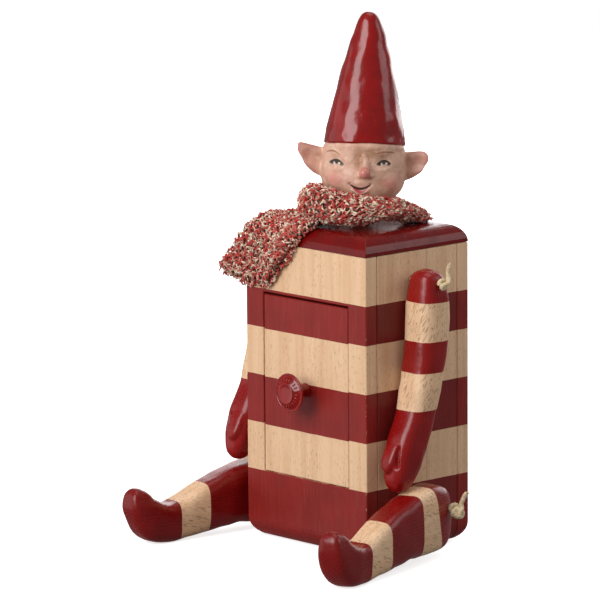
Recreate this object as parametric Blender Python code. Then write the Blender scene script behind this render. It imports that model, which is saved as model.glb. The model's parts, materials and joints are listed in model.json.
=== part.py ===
"""A seated pixie drawer box: a striped wooden box with a drawer, a turning head and four corded limbs.

Metres, +Z up. The origin is the middle of the box's base on the surface it stands on. The drawer
opens towards -Y, and left and right are the figure's own: its left side is +X.
"""
import math

import bmesh
import bpy
from mathutils import Matrix, Vector

MM = 0.001
GAP = 0.3 * MM                # clearance between touching pieces

# Box
BOX_WIDTH = 90.0 * MM
BOX_DEPTH = 73.2 * MM
BOX_HEIGHT = 166.8 * MM
BOARD = 8.0 * MM              # front, back and side panels
TOP_BOARD = 9.2 * MM
BASE_BOARD = 11.0 * MM
TOP_ROUND = 9.2 * MM
BASE_ROUND = 10.0 * MM
ROUND_STEPS = 8
ARRIS = 0.4 * MM              # eased sharp edges

# Drawer
OPENING_WIDTH = 64.0 * MM
OPENING_BOTTOM = 36.2 * MM
OPENING_TOP = 130.9 * MM
SIDE_PLAY = 0.5 * MM
TOP_PLAY = 1.2 * MM
FRONT_RECESS = 0.2 * MM
DRAWER_BOARD = 5.0 * MM
DRAWER_BOTTOM_BOARD = 4.0 * MM
DRAWER_SIDE_TOP = 127.5 * MM
SHELF_BOARD = 5.0 * MM
GUIDE_HEIGHT = 14.0 * MM

# Knob and its screw
KNOB_HEIGHT = 83.4 * MM
KNOB_RADIUS = 10.2 * MM
KNOB_REACH = 14.6 * MM
KNOB_CROWN = 2.8 * MM                     # the flat middle stands this far before the rim
STEM_RADIUS = 3.6 * MM
SCREW_RADIUS = 1.5 * MM
SCREW_HEAD_RADIUS = 3.4 * MM
SCREW_HEAD = 1.8 * MM
SCREW_BITE = 9.0 * MM

# Head, hat and neck peg, in a frame that stands on the peg: -Y is the face, +Z is up the peg
HEAD_PLACE = Vector((1.6, 1.8, 167.0)) * MM
HEAD_TURN = math.radians(47.2)
HEAD_LEAN = math.radians(2.6)
PEG_RADIUS = 4.0 * MM
PEG_DROP = 8.4 * MM
PEG_RISE = 24.0 * MM
BRIM_LIFT = math.tan(math.radians(9.5))   # the brim rises towards the face
BRIM_HEIGHT = 40.4 * MM
SPIGOT_RADIUS = 9.0 * MM
SPIGOT_TOP = 50.0 * MM
HEAD_SIDES = 28

# Limbs
ARM_CENTRE = 56.2 * MM
SHOULDER = (-4.5 * MM, 143.0 * MM)        # Y and Z of the shoulder cord
HIP = (3.5 * MM, 24.5 * MM)               # Y and Z of the hip cord
HIP_CENTRE = 56.6 * MM
LEG_SPLAY = {"left": 13.5, "right": 6.0}  # degrees outwards from straight ahead
ARM_SWING = {"left": 0.5, "right": 5.0}   # degrees forwards from the arms' drawn station
CORD_RADIUS = 1.15 * MM
CORD_HOLE = 1.6 * MM
ARM_KNOT = (70.0 * MM, 3.2 * MM, 6.2 * MM)   # each knot's X, radius and length
LEG_KNOT = (71.8 * MM, 3.9 * MM, 7.6 * MM)

# Scarf
SCARF_SIDES = 36
COLLAR_TOP = 17.6 * MM                    # above the top board, where it is neither raised nor slumped
COLLAR_LUMP = (263, 42, 4.6 * MM)         # the raised part's direction and spread in degrees, and its rise
COLLAR_SLUMP = (67, 50, -9.4 * MM)
COLLAR_TUCK = (352, 30, 3.4 * MM)         # where its underside is drawn up clear of the board
COLLAR_END = (45, 16, 4.2 * MM)           # where the scarf's other end pokes out, and by how much
TAIL_LIFT = 0.6 * MM
TAIL_THICKNESS = 5.6 * MM
TAIL_FLAT = 15.0 * MM                     # its run on the top board before the edge's round
# The loose end's two edges: X, and the distance run from the collar, in millimetres
TAIL_OUTER = ((-33.0, 0.0), (-37.0, 10.0), (-38.0, 22.0), (-43.0, 32.0), (-52.0, 42.5), (-60.5, 52.0))
TAIL_INNER = ((0.0, 0.0), (1.5, 12.0), (0.5, 22.0), (-5.0, 32.0), (-13.0, 42.5), (-25.0, 55.5))

HALF_WIDTH = BOX_WIDTH / 2
HALF_DEPTH = BOX_DEPTH / 2
INNER_WIDTH = HALF_WIDTH - BOARD
INNER_DEPTH = HALF_DEPTH - BOARD
PANEL_TOP = BOX_HEIGHT - TOP_BOARD


# ---------------------------------------------------------------- tools

def clear_scene():
    for item in list(bpy.data.objects):
        bpy.data.objects.remove(item, do_unlink=True)


def make_material(name, color, roughness, metallic=0.0):
    material = bpy.data.materials.new(name)
    material.use_nodes = True
    shader = material.node_tree.nodes["Principled BSDF"]
    shader.inputs["Base Color"].default_value = (*color, 1.0)
    shader.inputs["Roughness"].default_value = roughness
    shader.inputs["Metallic"].default_value = metallic
    material.diffuse_color = (*color, 1.0)
    return material


def add_object(name, mesh, material):
    piece = bpy.data.objects.new(name, mesh)
    bpy.context.collection.objects.link(piece)
    if material:
        mesh.materials.append(material)
    return piece


def from_bmesh(name, shape, material):
    bmesh.ops.recalc_face_normals(shape, faces=shape.faces)
    mesh = bpy.data.meshes.new(name)
    shape.to_mesh(mesh)
    shape.free()
    return add_object(name, mesh, material)


def cuboid(name, low, high, material=None):
    """A box between two corners."""
    low, high = Vector(low), Vector(high)
    shape = bmesh.new()
    bmesh.ops.create_cube(shape, size=1.0)
    bmesh.ops.scale(shape, vec=high - low, verts=shape.verts)
    bmesh.ops.translate(shape, vec=(low + high) / 2, verts=shape.verts)
    return from_bmesh(name, shape, material)


def prism(name, outline, axis, half_length, material=None):
    """An outline of (across, up) points, extruded both ways along X or Y."""
    def place(across, up, along):
        return (along, across, up) if axis == "X" else (across, along, up)
    shape = bmesh.new()
    corners = [shape.verts.new(place(a, b, -half_length)) for a, b in outline]
    face = shape.faces.new(corners)
    run = (2 * half_length, 0, 0) if axis == "X" else (0, 2 * half_length, 0)
    grown = bmesh.ops.extrude_face_region(shape, geom=[face])
    moved = [v for v in grown["geom"] if isinstance(v, bmesh.types.BMVert)]
    bmesh.ops.translate(shape, vec=run, verts=moved)
    return from_bmesh(name, shape, material)


def rod(name, radius, start, end, sides=20, material=None):
    """A round bar between two points."""
    start, end = Vector(start), Vector(end)
    shape = bmesh.new()
    bmesh.ops.create_cone(shape, cap_ends=True, segments=sides, radius1=radius, radius2=radius,
                          depth=(end - start).length)
    turn = (end - start).to_track_quat("Z", "Y").to_matrix().to_4x4()
    bmesh.ops.transform(shape, matrix=Matrix.Translation((start + end) / 2) @ turn, verts=shape.verts)
    return from_bmesh(name, shape, material)


def skin(name, rings, material=None, closed=False):
    """A skin over rings of equally many points, with a flat cap at each end or closed on itself."""
    shape = bmesh.new()
    loops = [[shape.verts.new(point) for point in ring] for ring in rings]
    pairs = list(zip(loops, loops[1:]))
    if closed:
        pairs.append((loops[-1], loops[0]))
    for near, far in pairs:
        for i in range(len(near)):
            j = (i + 1) % len(near)
            shape.faces.new((near[i], near[j], far[j], far[i]))
    if not closed:
        shape.faces.new(loops[0])
        shape.faces.new(loops[-1])
    bmesh.ops.triangulate(shape, faces=[f for f in shape.faces if len(f.verts) > 4])
    return from_bmesh(name, shape, material)


def turned(name, profile, sides, material=None):
    """A solid of revolution about Z from (radius, height) points, its first and last on the axis."""
    rings = [[(r * math.cos(a), r * math.sin(a), z) for a in angles(sides)] for r, z in profile[1:-1]]
    shape = bmesh.new()
    loops = [[shape.verts.new(point) for point in ring] for ring in rings]
    for near, far in zip(loops, loops[1:]):
        for i in range(sides):
            j = (i + 1) % sides
            shape.faces.new((near[i], near[j], far[j], far[i]))
    for loop, (_, height) in ((loops[0], profile[0]), (loops[-1], profile[-1])):
        tip = shape.verts.new((0, 0, height))
        for i in range(sides):
            shape.faces.new((loop[i], loop[(i + 1) % sides], tip))
    return from_bmesh(name, shape, material)


def angles(count):
    return [2 * math.pi * i / count for i in range(count)]


def combine(piece, other, operation):
    """Cut, join or trim a piece by another, which stays in the file as a hidden guide."""
    other.display_type = "WIRE"
    other.hide_render = True
    change = piece.modifiers.new(other.name, "BOOLEAN")
    change.operation = operation
    change.object = other
    change.solver = "EXACT"


def ease_edges(piece, width=ARRIS):
    bevel = piece.modifiers.new("eased edges", "BEVEL")
    bevel.width = width
    bevel.segments = 1
    bevel.limit_method = "ANGLE"
    bevel.angle_limit = math.radians(40)


def smooth(piece, angle=40):
    piece.data.shade_smooth()
    piece.data.set_sharp_from_angle(angle=math.radians(angle))


def curve_between(stations, steps):
    """Catmull-Rom points through a list of equally long tuples."""
    padded = [stations[0], *stations, stations[-1]]
    points = []
    for a, b, c, d in zip(padded, padded[1:], padded[2:], padded[3:]):
        for i in range(steps):
            t = i / steps
            points.append(tuple(
                0.5 * (2 * q + (r - p) * t + (2 * p - 5 * q + 4 * r - s) * t * t
                       + (3 * q - p - 3 * r + s) * t ** 3)
                for p, q, r, s in zip(a, b, c, d)))
    points.append(tuple(stations[-1]))
    return points


def rounded_section(half_a, half_b, count, power):
    """Points of a superellipse, as (a, b) pairs."""
    points = []
    for angle in angles(count):
        c, s = math.cos(angle), math.sin(angle)
        points.append((half_a * math.copysign(abs(c) ** (2 / power), c),
                       half_b * math.copysign(abs(s) ** (2 / power), s)))
    return points


# ---------------------------------------------------------------- box

def rounded_outline(half, top, top_round, base_round):
    """A rectangle with round lower and upper corners, as (across, up) points."""
    points = []
    corners = ((half - base_round, base_round, base_round, -90),
               (half - top_round, top - top_round, top_round, 0),
               (-half + top_round, top - top_round, top_round, 90),
               (-half + base_round, base_round, base_round, 180))
    for across, up, radius, start in corners:
        for i in range(ROUND_STEPS + 1):
            a = math.radians(start + 90 * i / ROUND_STEPS)
            points.append((across + radius * math.cos(a), up + radius * math.sin(a)))
    return points


def outer_guides():
    """Two rounded prisms; a board trimmed by both has the box's round edges and mitred corners."""
    side_view = rounded_outline(HALF_DEPTH, BOX_HEIGHT, TOP_ROUND, BASE_ROUND)
    front_view = rounded_outline(HALF_WIDTH, BOX_HEIGHT, TOP_ROUND, BASE_ROUND)
    return (prism("guide_side_view", side_view, "X", BOX_WIDTH),
            prism("guide_front_view", front_view, "Y", BOX_WIDTH))


def outer_board(name, low, high, material, guides):
    board = cuboid(name, low, high, material)
    for guide in guides:
        combine(board, guide, "INTERSECT")
    return board


def cord_holes():
    """Cross-holes for the shoulder and hip cords, right through the box and the limbs."""
    reach = 90 * MM
    return [rod(name, CORD_HOLE, (-reach, y, z), (reach, y, z), 12)
            for name, (y, z) in (("guide_shoulder_hole", SHOULDER), ("guide_hip_hole", HIP))]


def make_box(paint, beech, holes):
    guides = outer_guides()
    over = 1 * MM                         # guides trim what stands past the outside
    front = outer_board("front_panel", (-HALF_WIDTH - over, -HALF_DEPTH - over, -over),
                        (HALF_WIDTH + over, -INNER_DEPTH - GAP / 2, PANEL_TOP - GAP), paint, guides)
    opening = cuboid("guide_opening", (-OPENING_WIDTH / 2, -HALF_DEPTH - 5 * MM, OPENING_BOTTOM),
                     (OPENING_WIDTH / 2, -INNER_DEPTH + 5 * MM, OPENING_TOP))
    combine(front, opening, "DIFFERENCE")
    back = outer_board("back_panel", (-HALF_WIDTH - over, INNER_DEPTH + GAP / 2, -over),
                       (HALF_WIDTH + over, HALF_DEPTH + over, PANEL_TOP - GAP), paint, guides)
    top = outer_board("top_board", (-HALF_WIDTH - over, -HALF_DEPTH - over, PANEL_TOP),
                      (HALF_WIDTH + over, HALF_DEPTH + over, BOX_HEIGHT + over), paint, guides)
    combine(top, head_rod("guide_peg_hole", PEG_RADIUS + GAP, -30 * MM, 10 * MM), "DIFFERENCE")
    sides = []
    for name, sign in (("side_panel_left", 1), ("side_panel_right", -1)):
        xs = sorted((sign * (INNER_WIDTH), sign * (HALF_WIDTH + over)))
        side = outer_board(name, (xs[0], -INNER_DEPTH + GAP / 2, -over),
                           (xs[1], INNER_DEPTH - GAP / 2, PANEL_TOP - GAP), paint, guides)
        for hole in holes:
            combine(side, hole, "DIFFERENCE")
        sides.append(side)
    for board in (front, back, top, *sides):
        ease_edges(board)

    room_x = INNER_WIDTH - GAP
    room_y = INNER_DEPTH - GAP
    cuboid("base_board", (-room_x, -room_y, 0), (room_x, room_y, BASE_BOARD), beech)
    cuboid("drawer_shelf", (-room_x, -room_y, OPENING_BOTTOM - SHELF_BOARD),
           (room_x, room_y, OPENING_BOTTOM), beech)
    cuboid("drawer_ceiling", (-room_x, -room_y, OPENING_TOP + GAP),
           (room_x, room_y, OPENING_TOP + GAP + SHELF_BOARD), beech)
    for name, sign in (("drawer_guide_left", 1), ("drawer_guide_right", -1)):
        xs = sorted((sign * (OPENING_WIDTH / 2 - 0.3 * MM), sign * room_x))
        guide = cuboid(name, (xs[0], -room_y, OPENING_BOTTOM + GAP),
                       (xs[1], room_y, OPENING_BOTTOM + GAP + GUIDE_HEIGHT), beech)
        ease_edges(guide)


# ---------------------------------------------------------------- drawer

def make_drawer(paint, beech, knob_paint, steel):
    front_y = -HALF_DEPTH + FRONT_RECESS
    inner_y = front_y + BOARD
    half = OPENING_WIDTH / 2 - SIDE_PLAY
    floor = OPENING_BOTTOM + GAP
    back_y = INNER_DEPTH - 0.6 * MM
    box_half = half - GAP
    front = cuboid("drawer_front", (-half, front_y, floor), (half, inner_y, OPENING_TOP - TOP_PLAY), paint)
    screw_path = rod("guide_screw_hole", SCREW_RADIUS + GAP, (0, front_y - 5 * MM, KNOB_HEIGHT),
                     (0, inner_y + 5 * MM, KNOB_HEIGHT), 16)
    combine(front, screw_path, "DIFFERENCE")
    ease_edges(front)
    for name, sign in (("drawer_side_left", 1), ("drawer_side_right", -1)):
        xs = sorted((sign * box_half, sign * (box_half - DRAWER_BOARD)))
        cuboid(name, (xs[0], inner_y + GAP, floor),
               (xs[1], back_y - DRAWER_BOARD - GAP, DRAWER_SIDE_TOP), beech)
    cuboid("drawer_back", (-box_half, back_y - DRAWER_BOARD, floor),
           (box_half, back_y, DRAWER_SIDE_TOP), beech)
    inside = box_half - DRAWER_BOARD - GAP
    cuboid("drawer_bottom", (-inside, inner_y + GAP, floor),
           (inside, back_y - DRAWER_BOARD - GAP, floor + DRAWER_BOTTOM_BOARD), beech)
    make_knob(front_y, knob_paint)
    make_screw(front_y, inner_y, steel)


def stand_forward(piece, y, z):
    """Lay a piece turned about Z so that its axis points to -Y from a given place."""
    piece.matrix_world = Matrix.Translation((0, y, z)) @ Matrix.Rotation(math.radians(90), 4, "X")


def make_knob(front_y, material):
    """A waisted stem and a disc whose face slopes up from a thin rim to a flat middle, about Z."""
    foot = GAP
    rim = KNOB_REACH - KNOB_CROWN
    bore = SCREW_RADIUS + GAP
    bore_end = SCREW_BITE - GAP * 2 + 1 * MM
    profile = ((0, bore_end), (bore, bore_end), (bore, foot), (STEM_RADIUS + 0.9 * MM, foot),
               (STEM_RADIUS, foot + 1.2 * MM), (STEM_RADIUS, rim - 4.0 * MM),
               (STEM_RADIUS + 1.6 * MM, rim - 2.4 * MM), (KNOB_RADIUS - 1.4 * MM, rim - 1.2 * MM),
               (KNOB_RADIUS - 0.2 * MM, rim - 0.5 * MM), (KNOB_RADIUS, rim),
               (KNOB_RADIUS - 0.3 * MM, rim + 0.5 * MM), (KNOB_RADIUS - 1.1 * MM, rim + 0.7 * MM),
               (KNOB_RADIUS - 4.6 * MM, rim + 2.5 * MM), (KNOB_RADIUS - 5.4 * MM, KNOB_REACH),
               (0, KNOB_REACH - 0.1 * MM))
    knob = turned("drawer_knob", profile, 32, material)
    smooth(knob)
    stand_forward(knob, front_y, KNOB_HEIGHT)


def make_screw(front_y, inner_y, material):
    """A wood screw whose head bears on the inside of the drawer front."""
    seat = -(inner_y - front_y) - GAP
    profile = ((0, SCREW_BITE), (SCREW_RADIUS * 0.5, SCREW_BITE), (SCREW_RADIUS, SCREW_BITE - 2 * MM),
               (SCREW_RADIUS, seat), (SCREW_HEAD_RADIUS, seat),
               (SCREW_HEAD_RADIUS * 0.8, seat - SCREW_HEAD), (0, seat - SCREW_HEAD * 1.1))
    screw = turned("knob_screw", profile, 16, material)
    stand_forward(screw, front_y, KNOB_HEIGHT)


# ---------------------------------------------------------------- head

def head_frame():
    return (Matrix.Translation(HEAD_PLACE) @ Matrix.Rotation(HEAD_TURN, 4, "Z")
            @ Matrix.Rotation(HEAD_LEAN, 4, "Y"))


def head_rod(name, radius, low, high, material=None):
    bar = rod(name, radius, (0, 0, low), (0, 0, high), 20, material)
    bar.matrix_world = head_frame()
    return bar


def head_ring(height, half_width, front, back, lift=0.0, shift=0.0):
    """An oval ring, deeper or flatter to the front, that may rise towards the face."""
    ring = []
    for a in angles(HEAD_SIDES):
        x, y = half_width * math.cos(a) + shift, math.sin(a)
        y *= back if y > 0 else front
        ring.append((x, y, height - y * lift))
    return ring


def make_head(skin_paint):
    brim = BRIM_HEIGHT - GAP
    rings = [head_ring(h * MM, w * MM, f * MM, b * MM, lift * BRIM_LIFT) for h, w, f, b, lift in (
        (1.2, 7.5, 7.5, 7.5, 0), (8.0, 8.0, 8.0, 8.0, 0), (11.0, 13.0, 15.5, 10.0, 0),
        (14.5, 17.5, 19.0, 15.0, 0), (19.0, 20.8, 20.6, 19.0, 0), (25.0, 22.1, 21.2, 20.5, 0),
        (31.0, 22.1, 20.8, 21.0, 0.4), (36.5, 21.2, 20.5, 20.6, 0.8))]
    rings.append(head_ring(brim, 20.5 * MM, 20.5 * MM, 20.5 * MM, BRIM_LIFT))
    rings.append(head_ring(brim, SPIGOT_RADIUS, SPIGOT_RADIUS, SPIGOT_RADIUS, BRIM_LIFT))
    rings.append(head_ring(SPIGOT_TOP, SPIGOT_RADIUS, SPIGOT_RADIUS, SPIGOT_RADIUS))
    head = skin("head", rings, skin_paint)
    head.matrix_world = head_frame()
    for part in (make_nose(), make_ear("guide_ear_left", 1), make_ear("guide_ear_right", -1)):
        part.matrix_world = head_frame()
        combine(head, part, "UNION")
    combine(head, head_rod("guide_head_bore", PEG_RADIUS + GAP, -5 * MM, PEG_RISE + GAP), "DIFFERENCE")
    smooth(head, 50)


def make_nose():
    stations = ((0.3, -19.0, 38.0, 1.6), (0.5, -20.6, 33.0, 2.4), (0.7, -22.4, 28.8, 3.2),
                (0.8, -22.0, 26.0, 2.6), (0.8, -19.0, 24.6, 1.4))
    rings = []
    for x, y, z, radius in stations:
        rings.append([((x + radius * math.cos(a)) * MM, (y + radius * math.sin(a)) * MM, z * MM)
                      for a in angles(10)])
    return skin("guide_nose", rings)


# Out along each ear from the temple to the tip: X, low Z, high Z, Y and thickness; the left one droops
EAR_STATIONS = {
    1: ((18.5, 21.8, 37.4, 0.5, 4.6), (23.0, 22.5, 37.4, 0.0, 3.8), (27.0, 24.7, 38.0, -1.0, 3.0),
        (30.4, 27.8, 38.1, -2.0, 2.6), (32.4, 31.2, 37.0, -2.5, 2.0), (33.2, 33.0, 35.6, -2.7, 1.2)),
    -1: ((18.5, 22.2, 37.8, 0.5, 4.6), (23.0, 23.2, 38.2, 0.0, 3.8), (27.0, 25.8, 39.2, -1.0, 3.0),
         (30.6, 29.6, 40.4, -2.0, 2.6), (33.0, 33.6, 40.8, -2.6, 2.0), (34.2, 36.8, 40.2, -2.8, 1.2))}


def make_ear(name, side):
    """A flat pointed ear on one side of the head."""
    rings = []
    for x, low, high, y, thickness in EAR_STATIONS[side]:
        section = rounded_section(thickness / 2, (high - low) / 2, 10, 2.6)
        rings.append([(side * x * MM, (y + a) * MM, ((low + high) / 2 + b) * MM) for a, b in section])
    return skin(name, rings)


def make_hat(hat_paint):
    profile = ((20.8, 0.0), (20.9, 1.2), (18.9, 14.0), (16.0, 27.0), (12.9, 40.0), (9.6, 53.0),
               (6.2, 63.4), (4.0, 67.0), (1.6, 68.8))
    tall = profile[-1][1]
    rings = []
    for radius, height in profile:
        lift = BRIM_LIFT * (1 - height / tall) ** 2
        r = radius * MM
        rings.append(head_ring(BRIM_HEIGHT + height * MM, r, r, r, lift))
    hat = skin("hat", rings, hat_paint)
    hat.matrix_world = head_frame()
    socket = head_rod("guide_hat_socket", SPIGOT_RADIUS + GAP, BRIM_HEIGHT - 15 * MM, SPIGOT_TOP + GAP)
    combine(hat, socket, "DIFFERENCE")
    smooth(hat)


# ---------------------------------------------------------------- limbs

# Down the arm: Y and Z of its middle, its depth front to back and its width
ARM_STATIONS = ((-5.3, 148.8, 6.0, 8.0), (-5.0, 146.4, 13.0, 15.0), (-4.0, 139.5, 16.8, 19.0),
                (-3.6, 128.0, 20.0, 20.0), (-4.6, 112.0, 19.6, 20.0), (-7.8, 93.0, 18.4, 20.0),
                (-12.4, 74.0, 17.4, 18.5), (-17.6, 61.5, 18.6, 18.0), (-21.4, 50.0, 17.4, 16.5),
                (-24.4, 42.2, 12.8, 13.5), (-27.0, 37.6, 5.5, 8.0))
THUMB_STATIONS = ((-21.0, 64.0, 3.0, 6.0), (-25.0, 58.5, 7.0, 10.0), (-28.6, 51.5, 6.5, 9.0),
                  (-30.4, 47.5, 2.6, 5.0))
# Along the leg: distance from the hip cord and Z of its middle, its height and its width
LEG_STATIONS = ((-5.4, 21.0, 6.0, 4.0), (-4.2, 21.0, 16.0, 9.0), (-0.5, 21.0, 26.0, 14.5),
                (6.0, 21.0, 33.0, 18.5), (14.0, 21.0, 35.0, 20.0), (28.0, 19.8, 32.5, 20.0),
                (43.0, 17.8, 29.0, 19.5),
                (57.0, 14.8, 25.5, 18.5), (71.0, 11.4, 21.0, 17.5), (81.0, 10.3, 20.2, 17.0),
                (89.5, 12.0, 20.6, 17.0), (96.6, 19.0, 14.5, 14.5), (98.8, 25.4, 8.6, 10.5),
                (98.8, 29.2, 3.0, 5.0))


def limb_rings(stations, steps=2, count=16):
    """Rounded-square sections square to a path in the YZ plane, about X = 0."""
    points = curve_between(stations, steps)
    rings = []
    for i, (y, z, depth, width) in enumerate(points):
        before, after = points[max(i - 1, 0)], points[min(i + 1, len(points) - 1)]
        run = Vector((after[0] - before[0], after[1] - before[1])).normalized()
        square = (-run[1], run[0])
        rings.append([(b * MM, (y + a * square[0]) * MM, (z + a * square[1]) * MM)
                      for a, b in rounded_section(depth / 2, width / 2, count, 3.2)])
    return rings


def about_axis(y, z, degrees):
    """A turn about the cord line through Y and Z that swings a hanging limb forwards."""
    centre = Matrix.Translation((0, y, z))
    return centre @ Matrix.Rotation(math.radians(-degrees), 4, "X") @ centre.inverted()


def make_arm(name, side, swing, material, hole):
    place = Matrix.Translation((side * ARM_CENTRE, 0, 0)) @ about_axis(*SHOULDER, swing)
    arm = skin(name, limb_rings(ARM_STATIONS), material)
    thumb = skin(name + "_guide_thumb", limb_rings(THUMB_STATIONS, 2, 10))
    for piece in (arm, thumb):
        piece.matrix_world = place
    combine(arm, thumb, "UNION")
    combine(arm, hole, "DIFFERENCE")
    smooth(arm, 50)


def make_leg(name, side, splay, material, hole):
    rings = [[(x, -along, z) for x, along, z in ring] for ring in limb_rings(LEG_STATIONS)]
    leg = skin(name, rings, material)
    leg.matrix_world = (Matrix.Translation((side * HIP_CENTRE, HIP[0], 0))
                        @ Matrix.Rotation(math.radians(side * splay), 4, "Z"))
    combine(leg, hole, "DIFFERENCE")
    smooth(leg, 50)


def make_cord(name, place, knot, tail_lean, material):
    """A cord across the box, with a knot and a short upright tail outside each limb."""
    y, z = place
    centre, radius, length = knot
    turn = 1.8 * MM
    half = [(0.0, y, z, 1.0), (20 * MM, y, z, 1.0), (centre - length * 0.55, y, z, 1.0)]
    for i in range(1, 6):
        swell = math.sin(math.pi * i / 6)
        half.append((centre + length * (i / 6 - 0.5), y, z, 1 + (radius / CORD_RADIUS - 1) * swell))
    end_x = centre + length * 0.5
    for i in range(1, 5):
        a = math.radians(90 * i / 4)
        half.append((end_x + turn * math.sin(a), y, z + turn * (1 - math.cos(a)), 1.0))
    tip_x = half[-1][0]
    for rise in (3.0, 6.0):
        half.append((tip_x, y + tail_lean * rise * MM, z + turn + rise * MM, 1.0))
    points = [(-px, py, pz, r) for px, py, pz, r in reversed(half[1:])] + half
    curve = bpy.data.curves.new(name, "CURVE")
    curve.dimensions = "3D"
    curve.bevel_depth = CORD_RADIUS
    curve.bevel_resolution = 2
    curve.use_fill_caps = True
    spline = curve.splines.new("POLY")
    spline.points.add(len(points) - 1)
    for point, (px, py, pz, radius) in zip(spline.points, points):
        point.co = (px, py, pz, 1.0)
        point.radius = radius
    add_object(name, curve, None)
    curve.materials.append(material)


# ---------------------------------------------------------------- scarf

def bell(angle, shape):
    """The height of a bell-shaped rise round the neck at an angle in radians."""
    direction, spread, height = shape
    off = (math.degrees(angle) - direction + 180) % 360 - 180
    return height * math.exp(-(off / spread) ** 2)


def make_collar(material):
    """A thick knitted roll round the neck, turned about the peg's foot."""
    rings = []
    for a in angles(SCARF_SIDES):
        top = (COLLAR_TOP + bell(a, COLLAR_LUMP) + bell(a, COLLAR_SLUMP)) / MM
        end, tuck = bell(a, COLLAR_END) / MM, bell(a, COLLAR_TUCK) / MM
        fill = top * MM / COLLAR_TOP
        low = min(1.0, fill)
        profile = ((12.0, 0.5), (25.0, 0.5 + tuck * 0.3), (28.4 + end, 1.2 + tuck * 0.9),
                   (31.2 + end, 4.4 * low - end * 0.3 + tuck), (32.6, 8.6 * low + tuck * 0.4),
                   (31.4, top - 4.6 * low), (28.6, top - 1.2), (25.9, top - 0.5),
                   (24.6, 11.5 * low), (21.8, 8.5 * low), (13.0, 5.0 * low))
        rings.append([(r * MM * math.cos(a), r * MM * math.sin(a), h * MM) for r, h in profile])
    collar = skin("scarf", rings, material, closed=True)
    collar.location = (HEAD_PLACE.x, HEAD_PLACE.y, BOX_HEIGHT)
    return collar


def over_edge(run, lift):
    """Y and Z of a layer that lies on the top board and hangs over its front edge."""
    radius = TOP_ROUND + lift
    bend = radius * math.pi / 2
    edge_y = -HALF_DEPTH + TOP_ROUND
    if run < TAIL_FLAT:
        return edge_y + TAIL_FLAT - run, BOX_HEIGHT + lift
    if run < TAIL_FLAT + bend:
        a = (run - TAIL_FLAT) / radius
        return edge_y - radius * math.sin(a), PANEL_TOP + radius * math.cos(a)
    return -HALF_DEPTH - lift, PANEL_TOP - (run - TAIL_FLAT - bend)


def make_tail():
    """The scarf's loose end, which crosses the front edge aslant and hangs past the corner."""
    across = 4
    rings = []
    for outer, inner in zip(curve_between(TAIL_OUTER, 3), curve_between(TAIL_INNER, 3)):
        low, high = [], []
        for j in range(across + 1):
            x, run = ((start + (end - start) * j / across) * MM for start, end in zip(outer, inner))
            edge = 0.35 if j in (0, across) else 1.0
            y, z = over_edge(run, TAIL_LIFT + TAIL_THICKNESS * (1 - edge) / 2)
            low.append((x, y, z))
            y, z = over_edge(run, TAIL_LIFT + TAIL_THICKNESS * (1 + edge) / 2)
            high.append((x, y, z))
        rings.append(low + high[::-1])
    return skin("guide_scarf_tail", rings)


def make_scarf(material):
    scarf = make_collar(material)
    combine(scarf, make_tail(), "UNION")
    smooth(scarf, 60)


# ---------------------------------------------------------------- whole

def main():
    clear_scene()
    paint = make_material("striped_paint", (0.26, 0.03, 0.03), 0.45)
    beech = make_material("beech", (0.80, 0.62, 0.43), 0.6)
    gloss = make_material("red_gloss", (0.30, 0.01, 0.01), 0.2)
    skin_paint = make_material("skin_paint", (0.72, 0.47, 0.36), 0.45)
    steel = make_material("steel", (0.6, 0.6, 0.6), 0.35, 1.0)
    wool = make_material("wool", (0.65, 0.28, 0.24), 0.95)
    cotton = make_material("cotton", (0.78, 0.68, 0.50), 0.9)

    holes = cord_holes()
    make_box(paint, beech, holes)
    make_drawer(paint, beech, gloss, steel)
    head_rod("neck_peg", PEG_RADIUS, -PEG_DROP, PEG_RISE, beech)
    make_head(skin_paint)
    make_hat(gloss)
    for side_name, side in (("left", 1), ("right", -1)):
        make_arm("arm_" + side_name, side, ARM_SWING[side_name], gloss, holes[0])
        make_leg("leg_" + side_name, side, LEG_SPLAY[side_name], gloss, holes[1])
    make_cord("shoulder_cord", SHOULDER, ARM_KNOT, 0.25, cotton)
    make_cord("hip_cord", HIP, LEG_KNOT, 0.1, cotton)
    make_scarf(wool)


main()
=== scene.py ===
"""Looks for the seated pixie drawer box: painted beech, a hand-painted head, a knitted scarf and cords."""

import json
import math
import random

import bmesh
import bpy
import numpy as np
from mathutils import Matrix, Vector, noise


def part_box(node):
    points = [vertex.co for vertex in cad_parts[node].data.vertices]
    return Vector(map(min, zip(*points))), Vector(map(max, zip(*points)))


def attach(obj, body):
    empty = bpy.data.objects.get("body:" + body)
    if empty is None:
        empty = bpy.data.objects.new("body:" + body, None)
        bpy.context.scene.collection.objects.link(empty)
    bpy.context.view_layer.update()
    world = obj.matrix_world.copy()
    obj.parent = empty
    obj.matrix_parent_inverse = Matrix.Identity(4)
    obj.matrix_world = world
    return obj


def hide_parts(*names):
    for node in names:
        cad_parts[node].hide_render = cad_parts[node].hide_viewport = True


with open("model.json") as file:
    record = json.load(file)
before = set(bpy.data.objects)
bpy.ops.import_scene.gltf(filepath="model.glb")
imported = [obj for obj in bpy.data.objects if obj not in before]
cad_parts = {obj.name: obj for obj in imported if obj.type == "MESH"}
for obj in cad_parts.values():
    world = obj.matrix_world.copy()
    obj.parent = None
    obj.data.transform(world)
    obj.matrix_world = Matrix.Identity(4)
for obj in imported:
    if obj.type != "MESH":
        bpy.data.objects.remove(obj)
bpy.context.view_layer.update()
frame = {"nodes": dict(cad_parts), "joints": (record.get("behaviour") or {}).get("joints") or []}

MM = 0.001
NODES = frame["nodes"]
JOINTS = {joint["name"]: joint for joint in frame["joints"]}

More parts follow.
